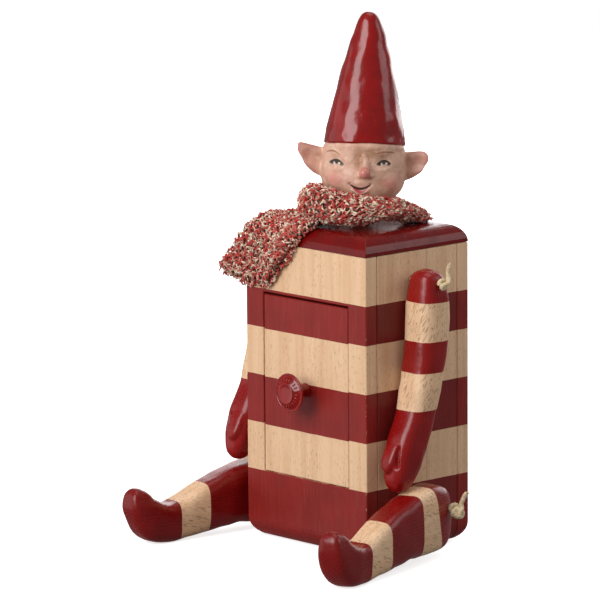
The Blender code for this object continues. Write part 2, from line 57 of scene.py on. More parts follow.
# Colours, as linear light
BEECH_LIGHT = (0.86, 0.58, 0.365)
BEECH_DARK = (0.72, 0.44, 0.25)
BEECH_FLECK = (0.30, 0.155, 0.07)
MATT_RED = (0.26, 0.011, 0.008)
GLOSS_RED = (0.27, 0.0035, 0.003)
SKIN = (0.70, 0.41, 0.30)
SKIN_TAN = (0.56, 0.30, 0.20)
ROSE = (0.66, 0.22, 0.19)
YARN_RED = (0.46, 0.020, 0.016)
YARN_CREAM = (0.92, 0.76, 0.58)
COTTON = (0.80, 0.66, 0.43)

# Light: the room's even level, and the lamps' power in watts
ROOM = 0.45
ROOM_SHEEN = 0.17                         # the room as gloss reflects it
FLOOR_BOUNCE = 0.10                       # of what the floor gives off, the share that lights the figure
KEY = 9.0
CARD_LEFT = 2.8
CARD_RIGHT = 1.8
CARD_BEHIND = 17.0
TOP = 3.0
FLOOR_GLOW = 0.7
FLOOR_REACH = 1.6
LIGHT_TARGET = (0, 0, 0.12)

# The camera: its way from the figure in degrees, its distance and shifts in metres, its lens in millimetres
VIEW_AZIMUTH, VIEW_ELEVATION, VIEW_ROLL = 47.164, 10.157, -0.398
VIEW_DISTANCE, VIEW_ACROSS, VIEW_UP, VIEW_HEIGHT = 2.6193, -0.02832, -0.16951, 0.298
LENS, SENSOR = 306.88, 36.0

# Heights where the box's paint changes, from the base up, in metres
BOX_BANDS = [z * MM for z in (36.2, 61.5, 86.9, 112.1, 132.5)]
BOX_PAINT_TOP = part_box("front_panel")[1].z
DRAWER_DROP = 0.6 * MM                    # the drawer's bands sit a little low
SIDE_SEAM = 6.3 * MM                      # Y of the joint between a side panel's two boards
BARE_BOARDS = {                           # the way each bare piece's grain runs
    "x": "base_board drawer_shelf drawer_ceiling drawer_back drawer_bottom",
    "y": "drawer_guide_left drawer_guide_right drawer_side_left drawer_side_right",
    "z": "neck_peg"}


# ---------------------------------------------------------------- material tools

class Graph:
    """A material under construction; its helpers add nodes and return their output sockets."""

    def __init__(self, name):
        self.material = bpy.data.materials.new(name)
        self.material.use_nodes = True
        self.tree = self.material.node_tree
        self.shader = self.tree.nodes["Principled BSDF"]
        self.coordinates = self.add("ShaderNodeTexCoord").outputs["Object"]

    def add(self, kind, **settings):
        node = self.tree.nodes.new(kind)
        for key, value in settings.items():
            setattr(node, key, value)
        return node

    def put(self, socket, value):
        """Link a socket to another, or set it to a constant."""
        if isinstance(value, bpy.types.NodeSocket):
            self.tree.links.new(value, socket)
        elif hasattr(value, "__len__") and socket.type == "RGBA":
            socket.default_value = (*value, 1.0)[:4]
        else:
            socket.default_value = value

    def math(self, operation, *values, clamp=False):
        node = self.add("ShaderNodeMath", operation=operation, use_clamp=clamp)
        for socket, value in zip(node.inputs, values):
            self.put(socket, value)
        return node.outputs[0]

    def total(self, *values):
        result = values[0]
        for value in values[1:]:
            result = self.math("ADD", result, value)
        return result

    def times(self, *values):
        result = values[0]
        for value in values[1:]:
            result = self.math("MULTIPLY", result, value)
        return result

    def step(self, value, low, high, to_low=0.0, to_high=1.0):
        """A smooth step from to_low at low to to_high at high."""
        node = self.add("ShaderNodeMapRange", interpolation_type="SMOOTHSTEP")
        for socket, number in zip(node.inputs, (value, low, high, to_low, to_high)):
            self.put(socket, number)
        return node.outputs["Result"]

    def mix(self, share, first, second):
        node = self.add("ShaderNodeMix", data_type="RGBA")
        self.put(node.inputs["Factor"], share)
        self.put(node.inputs["A"], first)
        self.put(node.inputs["B"], second)
        return node.outputs["Result"]

    def noise(self, scale, detail=2.0, roughness=0.5, distortion=0.0):
        """Noise over the object, run long one way where the scale's three numbers differ."""
        place = self.add("ShaderNodeVectorMath", operation="MULTIPLY")
        self.put(place.inputs[0], self.coordinates)
        place.inputs[1].default_value = scale
        node = self.add("ShaderNodeTexNoise")
        self.put(node.inputs["Vector"], place.outputs["Vector"])
        node.inputs["Scale"].default_value = 1.0
        node.inputs["Detail"].default_value = detail
        node.inputs["Roughness"].default_value = roughness
        node.inputs["Distortion"].default_value = distortion
        return node.outputs["Fac"]

    def cloud(self, size, detail=2.0, roughness=0.5):
        """Even noise, with features of a size in millimetres."""
        return self.noise((1 / (size * MM),) * 3, detail, roughness)

    def patches(self, size, detail, low, high):
        """Soft patches: even noise, stepped from 0 at low to 1 at high."""
        return self.step(self.cloud(size, detail), low, high)

    def lay(self, under, over, *shares):
        """One colour laid over another, as far as the shares multiplied together say."""
        return self.mix(self.times(*shares), under, over)

    def axes(self):
        node = self.add("ShaderNodeSeparateXYZ")
        self.put(node.inputs[0], self.coordinates)
        return node.outputs

    def attribute(self, name):
        return self.add("ShaderNodeAttribute", attribute_name=name).outputs

    def bump(self, height, distance, strength=1.0, normal=None):
        node = self.add("ShaderNodeBump")
        node.inputs["Strength"].default_value = strength
        node.inputs["Distance"].default_value = distance * MM
        self.put(node.inputs["Height"], height)
        if normal is not None:
            self.put(node.inputs["Normal"], normal)
        return node.outputs["Normal"]

    def finish(self, **sockets):
        for name, value in sockets.items():
            self.put(self.shader.inputs[name.replace("_", " ")], value)
        return self.material


def along(axis, length, width):
    """A texture scale with features of one length along an axis and another across it, in millimetres."""
    return tuple(1 / ((length if a == axis else width) * MM) for a in "xyz")


def beech(graph, grain, fleck=(2.6, 0.42), strength=0.55, rarity=0.63, slant=0.0):
    """Beech's colour and fine relief, with the grain along an axis.

    fleck is the flecks' length and width in millimetres, strength how dark they are, rarity the
    level of noise above which they show, and slant how far they are turned, in radians.
    """
    streaks = graph.noise(along(grain, 90, 5), 4, 0.6, 0.4)
    fibres = graph.noise(along(grain, 14, 0.45), 3, 0.6)
    color = graph.mix(graph.step(streaks, 0.3, 0.75), BEECH_LIGHT, BEECH_DARK)
    color = graph.lay(color, BEECH_DARK, graph.step(fibres, 0.35, 0.75), 0.30)
    straight = graph.coordinates
    if slant:
        turn = graph.add("ShaderNodeVectorRotate", rotation_type="AXIS_ANGLE")
        turn.inputs["Axis"].default_value = (1.0, -1.0, 0.0)
        turn.inputs["Angle"].default_value = slant
        graph.put(turn.inputs["Vector"], straight)
        graph.coordinates = turn.outputs[0]
    flecks = graph.step(graph.noise(along(grain, *fleck), 1, 0.4), rarity, rarity + 0.07)
    graph.coordinates = straight
    flecks = graph.times(flecks, graph.step(graph.noise(along(grain, 40, 12), 1), 0.30, 0.62, 0.25, 1.0))
    color = graph.lay(color, BEECH_FLECK, flecks, strength)
    relief = graph.total(graph.times(fibres, 0.6), graph.times(flecks, -0.5))
    return color, relief


def painted_share(graph, place, edges, wobble, soft=0.07 * MM):
    """1 on paint and 0 on bare wood, where the paint changes at each edge, painted below the first."""
    place = graph.total(place, graph.times(graph.math("SUBTRACT", graph.cloud(7, 2), 0.5), wobble))
    share = 1.0
    for i, edge in enumerate(edges):
        sign = -1.0 if i % 2 == 0 else 1.0
        share = graph.total(share, graph.step(place, edge - soft, edge + soft, 0.0, sign))
    return share


def arris(graph):
    """1 along the box's outer upright edges, where paint rubs through, and 0 elsewhere."""
    low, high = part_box("front_panel")[0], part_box("back_panel")[1]
    axes = graph.axes()
    from_x = graph.math("SUBTRACT", high.x, graph.math("ABSOLUTE", axes["X"]))
    from_y = graph.math("MINIMUM", graph.math("SUBTRACT", high.y, axes["Y"]),
                        graph.math("SUBTRACT", axes["Y"], low.y))
    return graph.step(graph.math("MAXIMUM", from_x, from_y), 0.4 * MM, 1.1 * MM, 1.0, 0.0)


def striped(name, edges, grain, place=None, gloss=False, wobble=0.35 * MM, drop=0.0, chips=True,
            seam=None, depth=1.0):
    """Beech with painted bands, measured up Z or along the attribute that place names.

    seam is the Y of a joint in the wood, and depth how light the paint is, from 0 to 1; a depth below 1
    darkens the paint as painted shade.
    """
    graph = Graph(name)
    wood, relief = beech(graph, grain, (4.2, 0.8), 0.6, 0.57, 0.5) if gloss else beech(graph, grain)
    if seam is not None:
        away = graph.math("ABSOLUTE", graph.math("SUBTRACT", graph.axes()["Y"], seam))
        wood = graph.mix(graph.step(away, 0.12 * MM, 0.3 * MM), graph.mix(0.55, wood, BEECH_FLECK), wood)
    position = graph.attribute(place)["Fac"] if place else graph.axes()["Z"]
    paint_share = painted_share(graph, position, [e - drop for e in edges], wobble)
    if chips:
        worn = graph.step(graph.times(graph.cloud(1.3, 3, 0.7), arris(graph)), 0.62, 0.67)
        paint_share = graph.times(paint_share, graph.math("SUBTRACT", 1.0, worn))
    cloud = graph.cloud(16, 3)
    streak = graph.noise(along(grain, 22, 0.8), 3, 0.6)
    # A depth below 1 darkens the red here, and the worn red below, as painted shade.
    red = [c * depth for c in (GLOSS_RED if gloss else MATT_RED)]
    paint = graph.mix(graph.step(cloud, 0.3, 0.7), red, [c * 0.82 for c in red])
    lift = 0.05 if gloss else 0.26
    worn_red = [c * depth for c in (0.36, 0.075, 0.06)]
    paint = graph.lay(paint, worn_red, graph.step(streak, 0.45, 0.75), lift)
    color = graph.mix(paint_share, wood, paint)
    shine = 0.25 if gloss else 0.42
    rough = graph.total(shine, graph.times(graph.step(streak, 0.3, 0.8), 0.08))
    rough = graph.mix(paint_share, (0.50,) * 3, rough)
    film = 0.82 if gloss else 0.25
    height = graph.total(graph.times(relief, graph.math("SUBTRACT", 1.0, graph.times(paint_share, film))),
                         graph.times(paint_share, 0.7))
    normal = graph.bump(height, 0.10, 0.55 if gloss else 0.8)
    if gloss:
        normal = graph.bump(graph.cloud(3.2, 2), 0.35, 0.35, normal)
        normal = graph.bump(graph.cloud(0.9, 2), 0.06, 0.5, normal)
    return graph.finish(Base_Color=color, Roughness=rough, Normal=normal,
                        Specular_IOR_Level=0.5 if gloss else 0.42)


def bare_beech(name, grain):
    graph = Graph(name)
    color, relief = beech(graph, grain)
    return graph.finish(Base_Color=color, Roughness=0.55, Normal=graph.bump(relief, 0.09, 0.8))


def red_gloss(name, waviness=0.5, wave_size=7, rough=0.16, streaks=None, coat=0.5, depth=1.0):
    """Thick dark red gloss paint, laid on by hand over something not quite even."""
    graph = Graph(name)
    cloud = graph.cloud(12, 3)
    # A depth below 1 darkens the red as painted shade.
    red = [c * depth for c in GLOSS_RED]
    color = graph.mix(graph.step(cloud, 0.3, 0.75), red, [c * 0.72 for c in red])
    color = graph.lay(color, (0.36, 0.04, 0.03), graph.patches(0.8, 1, 0.70, 0.76), 0.5)
    normal = graph.bump(graph.cloud(wave_size, 3, 0.55), waviness, 0.8)
    normal = graph.bump(graph.cloud(1.1, 2), 0.05, 0.5, normal)
    if streaks:
        normal = graph.bump(graph.noise(along(streaks, 30, 0.7), 2), 0.04, 0.6, normal)
    roughness = graph.total(rough, graph.times(graph.step(cloud, 0.35, 0.7), 0.08))
    return graph.finish(Base_Color=color, Roughness=roughness, Normal=normal,
                        Specular_IOR_Level=0.34, Coat_Weight=coat, Coat_Roughness=0.11)


# ---------------------------------------------------------------- mesh tools

def new_piece(name, vertices, faces, material, place=None):
    mesh = bpy.data.meshes.new(name)
    mesh.from_pydata([tuple(v) for v in vertices], [], faces)
    mesh.update()
    piece = bpy.data.objects.new(name, mesh)
    bpy.context.scene.collection.objects.link(piece)
    if place is not None:
        piece.matrix_world = place
    if material:
        mesh.materials.append(material)
    shape = bmesh.new()
    shape.from_mesh(mesh)
    bmesh.ops.recalc_face_normals(shape, faces=shape.faces)
    shape.to_mesh(mesh)
    shape.free()
    mesh.shade_smooth()
    return piece


def skin(rings, closed=False):
    """Vertices and faces of a skin over rings, capped unless it closes on itself."""
    count = len(rings[0])
    vertices = [point for ring in rings for point in ring]
    faces = []
    spans = len(rings) if closed else len(rings) - 1
    for r in range(spans):
        a, b = r * count, ((r + 1) % len(rings)) * count
        faces += [(a + i, a + (i + 1) % count, b + (i + 1) % count, b + i) for i in range(count)]
    if not closed:
        faces += [tuple(range(count)), tuple(range((len(rings) - 1) * count, len(rings) * count))]
    return vertices, faces


def round_turn(count):
    """Angles in radians, evenly round a circle."""
    return np.linspace(0, 2 * math.pi, count, endpoint=False)


def between(p, q, r, s, t):
    """The Catmull-Rom value a share t of the way from q to r."""
    return (0.5 * (2 * q + (r - p) * t + (2 * p - 5 * q + 4 * r - s) * t * t
                   + (3 * q - p - 3 * r + s) * t ** 3))


def curve_between(stations, steps):
    """Catmull-Rom points through a list of equally long tuples."""
    padded = [stations[0], *stations, stations[-1]]
    points = []
    for a, b, c, d in zip(padded, padded[1:], padded[2:], padded[3:]):
        points += [tuple(between(*four, i / steps) for four in zip(a, b, c, d)) for i in range(steps)]
    points.append(tuple(stations[-1]))
    return points


def joined(name, skins, material, place=None):
    """Several skins as one mesh, not yet fused."""
    vertices, faces = [], []
    for some_vertices, some_faces in skins:
        start = len(vertices)
        vertices += some_vertices
        faces += [tuple(start + i for i in face) for face in some_faces]
    return new_piece(name, vertices, faces, material, place)


def fuse(piece, voxel, smoothing):
    """Melt a piece's overlapping skins into one even surface."""
    remesh = piece.modifiers.new("fuse", "REMESH")
    remesh.mode = "VOXEL"
    remesh.voxel_size = voxel * MM
    remesh.use_smooth_shade = True
    smooth = piece.modifiers.new("soften", "SMOOTH")
    smooth.factor = 0.5
    smooth.iterations = smoothing
    bpy.context.view_layer.update()
    evaluated = piece.evaluated_get(bpy.context.evaluated_depsgraph_get())
    rough = piece.data
    fused = bpy.data.meshes.new_from_object(evaluated)
    piece.modifiers.clear()
    piece.data = fused
    bpy.data.meshes.remove(rough)
    fused.shade_smooth()


def coordinates_of(mesh):
    co = np.zeros(len(mesh.vertices) * 3)
    mesh.vertices.foreach_get("co", co)
    return co.reshape(-1, 3)


def push(mesh, distance):
    """Move each vertex along its normal, by what distance says for their coordinates."""
    mesh.update()
    co = coordinates_of(mesh)
    normals = np.zeros(len(co) * 3)
    mesh.vertices.foreach_get("normal", normals)
    co = co + normals.reshape(-1, 3) * distance(co)[:, None]
    mesh.vertices.foreach_set("co", co.ravel())
    mesh.update()


def set_attribute(mesh, name, values):
    layer = mesh.attributes.new(name, "FLOAT", "POINT")
    layer.data.foreach_set("value", np.asarray(values, np.float32))


def bulge(co, centre, radius):
    """A bell of 1 at a centre, falling to 0 one radius away; radius may differ by axis."""
    distance = np.sqrt((((co - centre) / radius) ** 2).sum(1))
    inside = np.clip(1 - distance, 0, 1)
    return inside * inside * (3 - 2 * inside)


def sculpt(mesh, marks):
    """Push the surface in or out at each mark: (centre, radius, depth) in millimetres."""
    push(mesh, lambda co: sum(depth * MM * bulge(co, np.array(centre) * MM, np.array(radius) * MM)
                              for centre, radius, depth in marks))


def hand_finish(mesh, size, depth, seed):
    """Move a surface in and out by a soft noise, as hand work does."""
    offset = Vector((seed * 7.3, seed * 3.1, seed * 1.7))
    push(mesh, lambda co: depth * MM * np.array([noise.noise(Vector(p) / (size * MM) + offset)
                                                 for p in co]))


def tube(path, radii, sides):
    """Rings round a path, carried along without twist, and each ring's own directions."""
    path = np.asarray(path, float)
    tangents = np.gradient(path, axis=0)
    tangents /= np.maximum(np.linalg.norm(tangents, axis=1), 1e-12)[:, None]
    side = np.cross(tangents[0], (0.31, 0.87, 0.38))
    side /= np.linalg.norm(side)
    sides_out = []
    for tangent in tangents:
        side = side - tangent * side.dot(tangent)
        side /= np.linalg.norm(side)
        sides_out.append(side)
    across = np.array(sides_out)
    up = np.cross(tangents, across)
    turn = np.arange(sides) * 2 * math.pi / sides
    ring = (across[:, None] * np.cos(turn)[None, :, None] + up[:, None] * np.sin(turn)[None, :, None])
    points = path[:, None] + ring * np.broadcast_to(np.asarray(radii, float), len(path))[:, None, None]
    return points, across, up


def tube_skin(path, radii, sides):
    """A closed skin round a path."""
    return skin(tube(path, radii, sides)[0].tolist())


# ---------------------------------------------------------------- box and drawer

def give(name, material):
    mesh = NODES[name].data
    mesh.materials.clear()
    mesh.materials.append(material)


def dress_box():
    bands = BOX_BANDS + [BOX_PAINT_TOP + 5 * MM]
    panel = striped("box_stripes", bands, "z")
    # The side panels take the same paint as the front, darkened (depth 0.74) as painted shade for the
    # sides.
    jointed_panel_painted_shade = striped("box_side_stripes_painted_shade", bands, "z", seam=SIDE_SEAM, depth=0.74)
    for ends, sides in (("front", "left"), ("back", "right")):
        give(ends + "_panel", panel)
        give("side_panel_" + sides, jointed_panel_painted_shade)
    give("drawer_front", striped("drawer_stripes", bands, "z", drop=DRAWER_DROP))
    # The top board's red is darkened (depth 0.60) as painted shade.
    give("top_board", red_gloss("top_board_paint_painted_shade", 0.26, 6, 0.21, "x", 0.08, 0.60))
    for axis, names in BARE_BOARDS.items():
        wood = bare_beech("beech_" + axis, axis)
        for name in names.split():
            give(name, wood)
    graph = Graph("screw_steel")
    rough = graph.step(graph.cloud(0.3, 2), 0.3, 0.7, 0.25, 0.42)
    give("knob_screw", graph.finish(Base_Color=(0.56, 0.55, 0.53), Metallic=1.0, Roughness=rough))


RIB_COUNT = 24
RIB_RADII = (0.12, 0.36, 0.42, 0.44, 0.42, 0.36, 0.12)      # along a rib, in millimetres


def make_knob():
    """The turned knob: a waisted stem, a thin rim, and a sloping band of ribs round a flat middle."""
    low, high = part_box("drawer_knob")
    centre = (low + high) / 2
    radius = (high.x - low.x) / 2 / MM
    reach = (high.y - low.y) / MM
    rim = reach - 2.8
    outline = ((0.02, 0.0), (3.2, 0.0), (3.7, 0.05), (3.75, 0.7), (3.6, 1.6), (3.5, 3.0), (3.6, rim - 4.4),
               (5.2, rim - 2.5), (8.4, rim - 1.3), (radius - 0.4, rim - 0.7), (radius, rim - 0.1),
               (radius - 0.2, rim + 0.45), (radius - 0.8, rim + 0.6), (radius - 1.3, rim + 0.4),
               (radius - 1.8, rim + 0.65), (radius - 4.4, rim + 2.2), (radius - 4.8, rim + 2.75),
               (radius - 5.3, rim + 2.8), (3.0, rim + 2.5), (0.02, rim + 2.4))
    rings = []
    for r, h in curve_between(outline, 5):
        r = max(r, 0.02)
        rings.append([(r * math.cos(a) * MM, -h * MM, r * math.sin(a) * MM) for a in round_turn(96)])
    place = Matrix.Translation((centre.x, high.y, centre.z))
    paint = red_gloss("knob_paint", 0.12, 4, 0.14)
    knob = new_piece("knob", *skin(rings), paint, place)
    ribs = []
    inner, outer = radius - 4.1, radius - 2.1
    for i in range(RIB_COUNT):
        a = 2 * math.pi * i / RIB_COUNT
        path = []
        for t in np.linspace(0, 1, 7):
            r = inner + (outer - inner) * t
            lift = rim + 0.65 + (radius - 1.8 - r) * 0.6 + 0.02
            path.append((math.cos(a) * r * MM, -lift * MM, math.sin(a) * r * MM))
        ribs.append(tube_skin(path, [r * MM for r in RIB_RADII], 8))
    ring = joined("knob_ribs", ribs, paint, place)
    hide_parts("drawer_knob")
    for piece in (knob, ring):
        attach(piece, "drawer")


# ---------------------------------------------------------------- limbs

# Down the arm, in millimetres: Y and Z of its middle, its depth and its width
ARM_STATIONS = ((-5.3, 148.8, 6.0, 8.0), (-5.0, 146.4, 13.0, 15.0), (-4.0, 139.5, 16.8, 19.0),
                (-3.6, 128.0, 20.0, 20.0), (-4.6, 112.0, 19.6, 20.0), (-7.8, 93.0, 18.4, 20.0),
                (-12.4, 74.0, 17.4, 18.5), (-17.6, 61.5, 18.6, 18.0), (-21.4, 50.0, 17.4, 16.5),
                (-24.2, 42.6, 13.2, 13.5), (-26.0, 38.6, 8.4, 9.0), (-26.9, 36.9, 3.0, 3.5))
THUMB_STATIONS = ((-20.0, 67.0, 2.0, 4.0), (-22.8, 63.0, 6.0, 8.5), (-26.0, 57.0, 7.4, 9.6),
                  (-28.8, 51.6, 6.8, 8.8), (-30.2, 48.4, 4.6, 6.0), (-30.8, 46.9, 1.6, 2.5))
# Along the leg: distance from the hip cord and Z of its middle, its height and its width
LEG_STATIONS = ((-5.6, 21.0, 2.0, 2.0), (-5.2, 21.0, 8.0, 5.0), (-4.0, 21.0, 16.0, 9.0),
                (-0.5, 21.0, 26.0, 14.5), (6.0, 21.0, 33.0, 18.5), (14.0, 21.0, 35.0, 20.0),
                (28.0, 19.8, 32.5, 20.0), (43.0, 17.8, 29.0, 19.5), (57.0, 14.8, 25.5, 18.5),
                (71.0, 11.4, 21.0, 17.5), (81.0, 10.3, 20.4, 17.2), (89.5, 12.0, 21.4, 17.6),
                (96.2, 19.0, 16.6, 16.0), (98.4, 25.0, 12.4, 13.0), (98.9, 28.4, 8.4, 9.6),
                (98.8, 30.2, 2.8, 3.6))
ARM_SWING = {"left": 0.5, "right": 5.0}
LEG_SPLAY = {"left": 13.5, "right": 6.0}
ARM_BANDS = [z * MM for z in (78.2, 97.2, 113.2, 133.2)]
LEG_BANDS = [s * MM for s in (10.0, 29.0, 58.0, 76.0)]


def limb_skin(stations, steps=5, count=40, power=3.0):
    """A skin of rounded-square sections square to a path in the YZ plane, about X = 0."""
    points = curve_between(stations, steps)
    c, s = np.cos(round_turn(count)), np.sin(round_turn(count))
    unit = np.stack((np.sign(c) * np.abs(c) ** (2 / power), np.sign(s) * np.abs(s) ** (2 / power)), 1)
    rings = []
    for i, (y, z, depth, width) in enumerate(points):
        before, after = points[max(i - 1, 0)], points[min(i + 1, len(points) - 1)]
        run = Vector((after[0] - before[0], after[1] - before[1])).normalized()
        rings.append([(b * width / 2 * MM, (y - a * depth / 2 * run[1]) * MM,
                       (z + a * depth / 2 * run[0]) * MM) for a, b in unit])
    return skin(rings)


def make_arm(side_name, side, material):
    shoulder = Vector(JOINTS[side_name + "_shoulder"]["pos_m"])
    vertices, faces = limb_skin(THUMB_STATIONS, 5, 20)
    thumb = [(x - side * 1.6 * MM, y, z) for x, y, z in vertices], faces
    arm = joined("arm_" + side_name + "_carved", [limb_skin(ARM_STATIONS), thumb], material)
    fuse(arm, 0.5, 10)
    crease = [((side * (3.6 + 1.0 * t), -27.6 - 2.0 * t, 60.0 - 9.0 * t), (1.8, 3.6, 2.2), -1.3)
              for t in np.linspace(0, 1, 7)]
    knuckles = [((x, -17.0, 55.0), (7, 4, 9), 0.5) for x in (-8.0, 8.0)]
    wrist = [((0, -11.5, 76.0), (15, 15, 6), -0.5)]
    sculpt(arm.data, crease + knuckles + wrist)
    hand_finish(arm.data, 9, 0.45, 3 + side)
    set_attribute(arm.data, "band_place", coordinates_of(arm.data)[:, 2])
    pivot = Matrix.Translation((0, shoulder.y, shoulder.z))
    arm.matrix_world = (Matrix.Translation((shoulder.x, 0, 0)) @ pivot
                        @ Matrix.Rotation(math.radians(-ARM_SWING[side_name]), 4, "X") @ pivot.inverted())
    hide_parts("arm_" + side_name)
    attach(arm, side_name + "_arm")


def make_leg(side_name, side, material):
    hip = Vector(JOINTS[side_name + "_hip"]["pos_m"])
    vertices, faces = limb_skin(LEG_STATIONS, power=4.0)
    vertices = [(x, -distance, z) for x, distance, z in vertices]
    leg = new_piece("leg_" + side_name + "_carved", vertices, faces, material)
    fuse(leg, 0.5, 6)
    marks = [((0, -38.0, 3.0), (16, 8, 6), -0.9), ((0, -80.0, 21.5), (9, 8, 6), -0.8)]
    sculpt(leg.data, marks)
    hand_finish(leg.data, 10, 0.5, 11 + side)
    co = coordinates_of(leg.data)
    reach, share = -co[:, 1] / MM, np.clip((co[:, 2] / MM - 4) / 34, 0, 1)
    lean = 10.0 * np.clip((30.0 - reach) / 17.0, 0, 1) * share
    set_attribute(leg.data, "band_place", (reach - lean) * MM)
    leg.matrix_world = (Matrix.Translation((hip.x, hip.y, 0))
                        @ Matrix.Rotation(math.radians(side * LEG_SPLAY[side_name]), 4, "Z"))
    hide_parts("leg_" + side_name)
    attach(leg, side_name + "_leg")


def make_limbs():
    arm_paint = striped("arm_stripes", ARM_BANDS, "z", "band_place", True, 0.5 * MM, chips=False)
    # The legs take the arms' paint with the red darkened (depth 0.84) as painted shade.
    leg_paint_painted_shade = striped("leg_stripes_painted_shade", LEG_BANDS, "y", "band_place", True, 0.5 * MM, chips=False,
                        depth=0.84)
    for side_name, side in (("left", 1), ("right", -1)):
        make_arm(side_name, side, arm_paint)
        make_leg(side_name, side, leg_paint_painted_shade)


# ---------------------------------------------------------------- head and hat

HEAD_TURN = math.radians(47.2)
BRIM_LIFT = math.tan(math.radians(9.5))   # the brim's slope, up at the face
BRIM_HEIGHT = 40.4                        # above the neck, in millimetres
# Across and up the face, in millimetres
NOSE = (0.3, 28.8)
EYES = ((-14.2, 32.6), (10.0, 33.4))
BROWS = ((-16.2, 38.4), (10.4, 39.3))
MOUTH = (-1.7, 21.5)
CHEEKS = ((-15.0, 24.5), (14.6, 22.8))


def head_place():
    """The frame that stands on the neck peg: -Y is the face and +Z runs up the peg."""
    joint = JOINTS["head_turn"]
    axis = Vector(joint["axis"])
    lean = math.acos(min(1.0, axis.z))
    return (Matrix.Translation(joint["pos_m"]) @ Matrix.Rotation(HEAD_TURN, 4, "Z")
            @ Matrix.Rotation(lean, 4, "Y"))


def head_skin():
    stations = ((1.2, 7.5, 7.5, 7.5, 0), (8.0, 8.0, 8.0, 8.0, 0), (11.0, 13.0, 15.5, 10.0, 0),
                (14.5, 17.5, 19.0, 15.0, 0), (19.0, 20.8, 20.6, 19.0, 0), (25.0, 22.1, 21.2, 20.5, 0),
                (31.0, 22.1, 20.8, 21.0, 0.4), (36.5, 21.2, 20.5, 20.6, 0.8), (40.0, 20.5, 20.5, 20.5, 1),
                (43.5, 16.0, 16.0, 16.0, 1))
    rings = []
    for h, half_width, front, back, lift in curve_between(stations, 6):
        ring = []
        for a in round_turn(72):
            y = math.sin(a)
            y *= back if y > 0 else front
            ring.append((half_width * math.cos(a) * MM, y * MM, (h - y * lift * BRIM_LIFT) * MM))
        rings.append(ring)
    return skin(rings)


# Out along each ear: X, its low and high Z, Y and thickness, in millimetres; the left one droops
EAR_STATIONS = {
    1: ((17.0, 21.6, 37.0, 0.6, 4.6), (20.0, 21.9, 37.2, 0.3, 4.0), (23.0, 22.5, 37.4, 0.0, 3.6),
        (26.8, 24.6, 38.0, -0.9, 3.0), (30.2, 27.5, 38.2, -1.9, 2.6), (32.2, 30.8, 37.3, -2.5, 2.2),
        (33.2, 33.0, 35.8, -2.7, 1.4)),
    -1: ((17.0, 22.0, 37.4, 0.6, 4.6), (20.0, 22.3, 37.8, 0.3, 4.0), (23.0, 23.2, 38.4, 0.0, 3.6),
         (27.0, 25.8, 39.4, -1.0, 3.0), (30.6, 29.6, 40.5, -2.0, 2.6), (33.0, 33.6, 40.9, -2.6, 2.2),
         (34.4, 36.6, 40.3, -2.8, 1.4))}


def ear_skin(side):
    """A cupped, pointed ear from the temple out to its tip."""
    rings = []
    for x, low, high, y, thickness in curve_between(EAR_STATIONS[side], 4):
        ring = []
        for a in round_turn(40):
            c, s = math.cos(a), math.sin(a)
            across = math.copysign(abs(c) ** 0.8, c) * thickness / 2
            up = math.copysign(abs(s) ** 0.8, s) * (high - low) / 2
            ring.append((side * x * MM, (y + across) * MM, ((low + high) / 2 + up) * MM))
        rings.append(ring)
    return skin(rings)


def ear_rim(co):
    """0 in an ear's hollow and on the face, rising to 1 along the ear's edge."""
    rim = np.zeros(len(co))
    for side, stations in EAR_STATIONS.items():
        x, z = co[:, 0] * side / MM, co[:, 2] / MM
        xs, lows, highs = ([station[i] for station in stations] for i in range(3))
        low, high = np.interp(x, xs, lows), np.interp(x, xs, highs)
        off = np.abs(z - (low + high) / 2) / ((high - low) / 2)
        edge = np.maximum(np.clip((off - 0.66) / 0.3, 0, 1), np.clip((x - xs[-1] + 2.4) / 2.0, 0, 1))
        rim = np.maximum(rim, edge * np.clip((x - 22.5) / 2.5, 0, 1))
    return rim


def ball_skin(centre, radii, count=24):
    rings = []
    for i in range(1, count // 2):
        a = 2 * math.pi * i / count
        rings.append([((centre[0] + radii[0] * math.sin(a) * math.cos(b)) * MM,
                       (centre[1] + radii[1] * math.sin(a) * math.sin(b)) * MM,
                       (centre[2] + radii[2] * math.cos(a)) * MM)
                      for b in round_turn(count)])
    return skin(rings)


def nose_skins():
    ridge = [ball_skin((0.2 + 0.1 * i, -19.6 - 0.42 * i, 36.5 - 1.5 * i), (1.9 + 0.12 * i, 2.0, 2.4))
             for i in range(6)]
    wings = [ball_skin((x, -20.9, 27.2), (1.7, 1.9, 1.5)) for x in (-1.7, 3.3)]
    return ridge + wings + [ball_skin((NOSE[0], -23.5, NOSE[1]), (2.8, 3.1, 3.0))]


def face_y(x):
    """The face's forward place at a distance across it, in millimetres."""
    return -math.sqrt(max(1.0, 21.3 ** 2 - x * x))


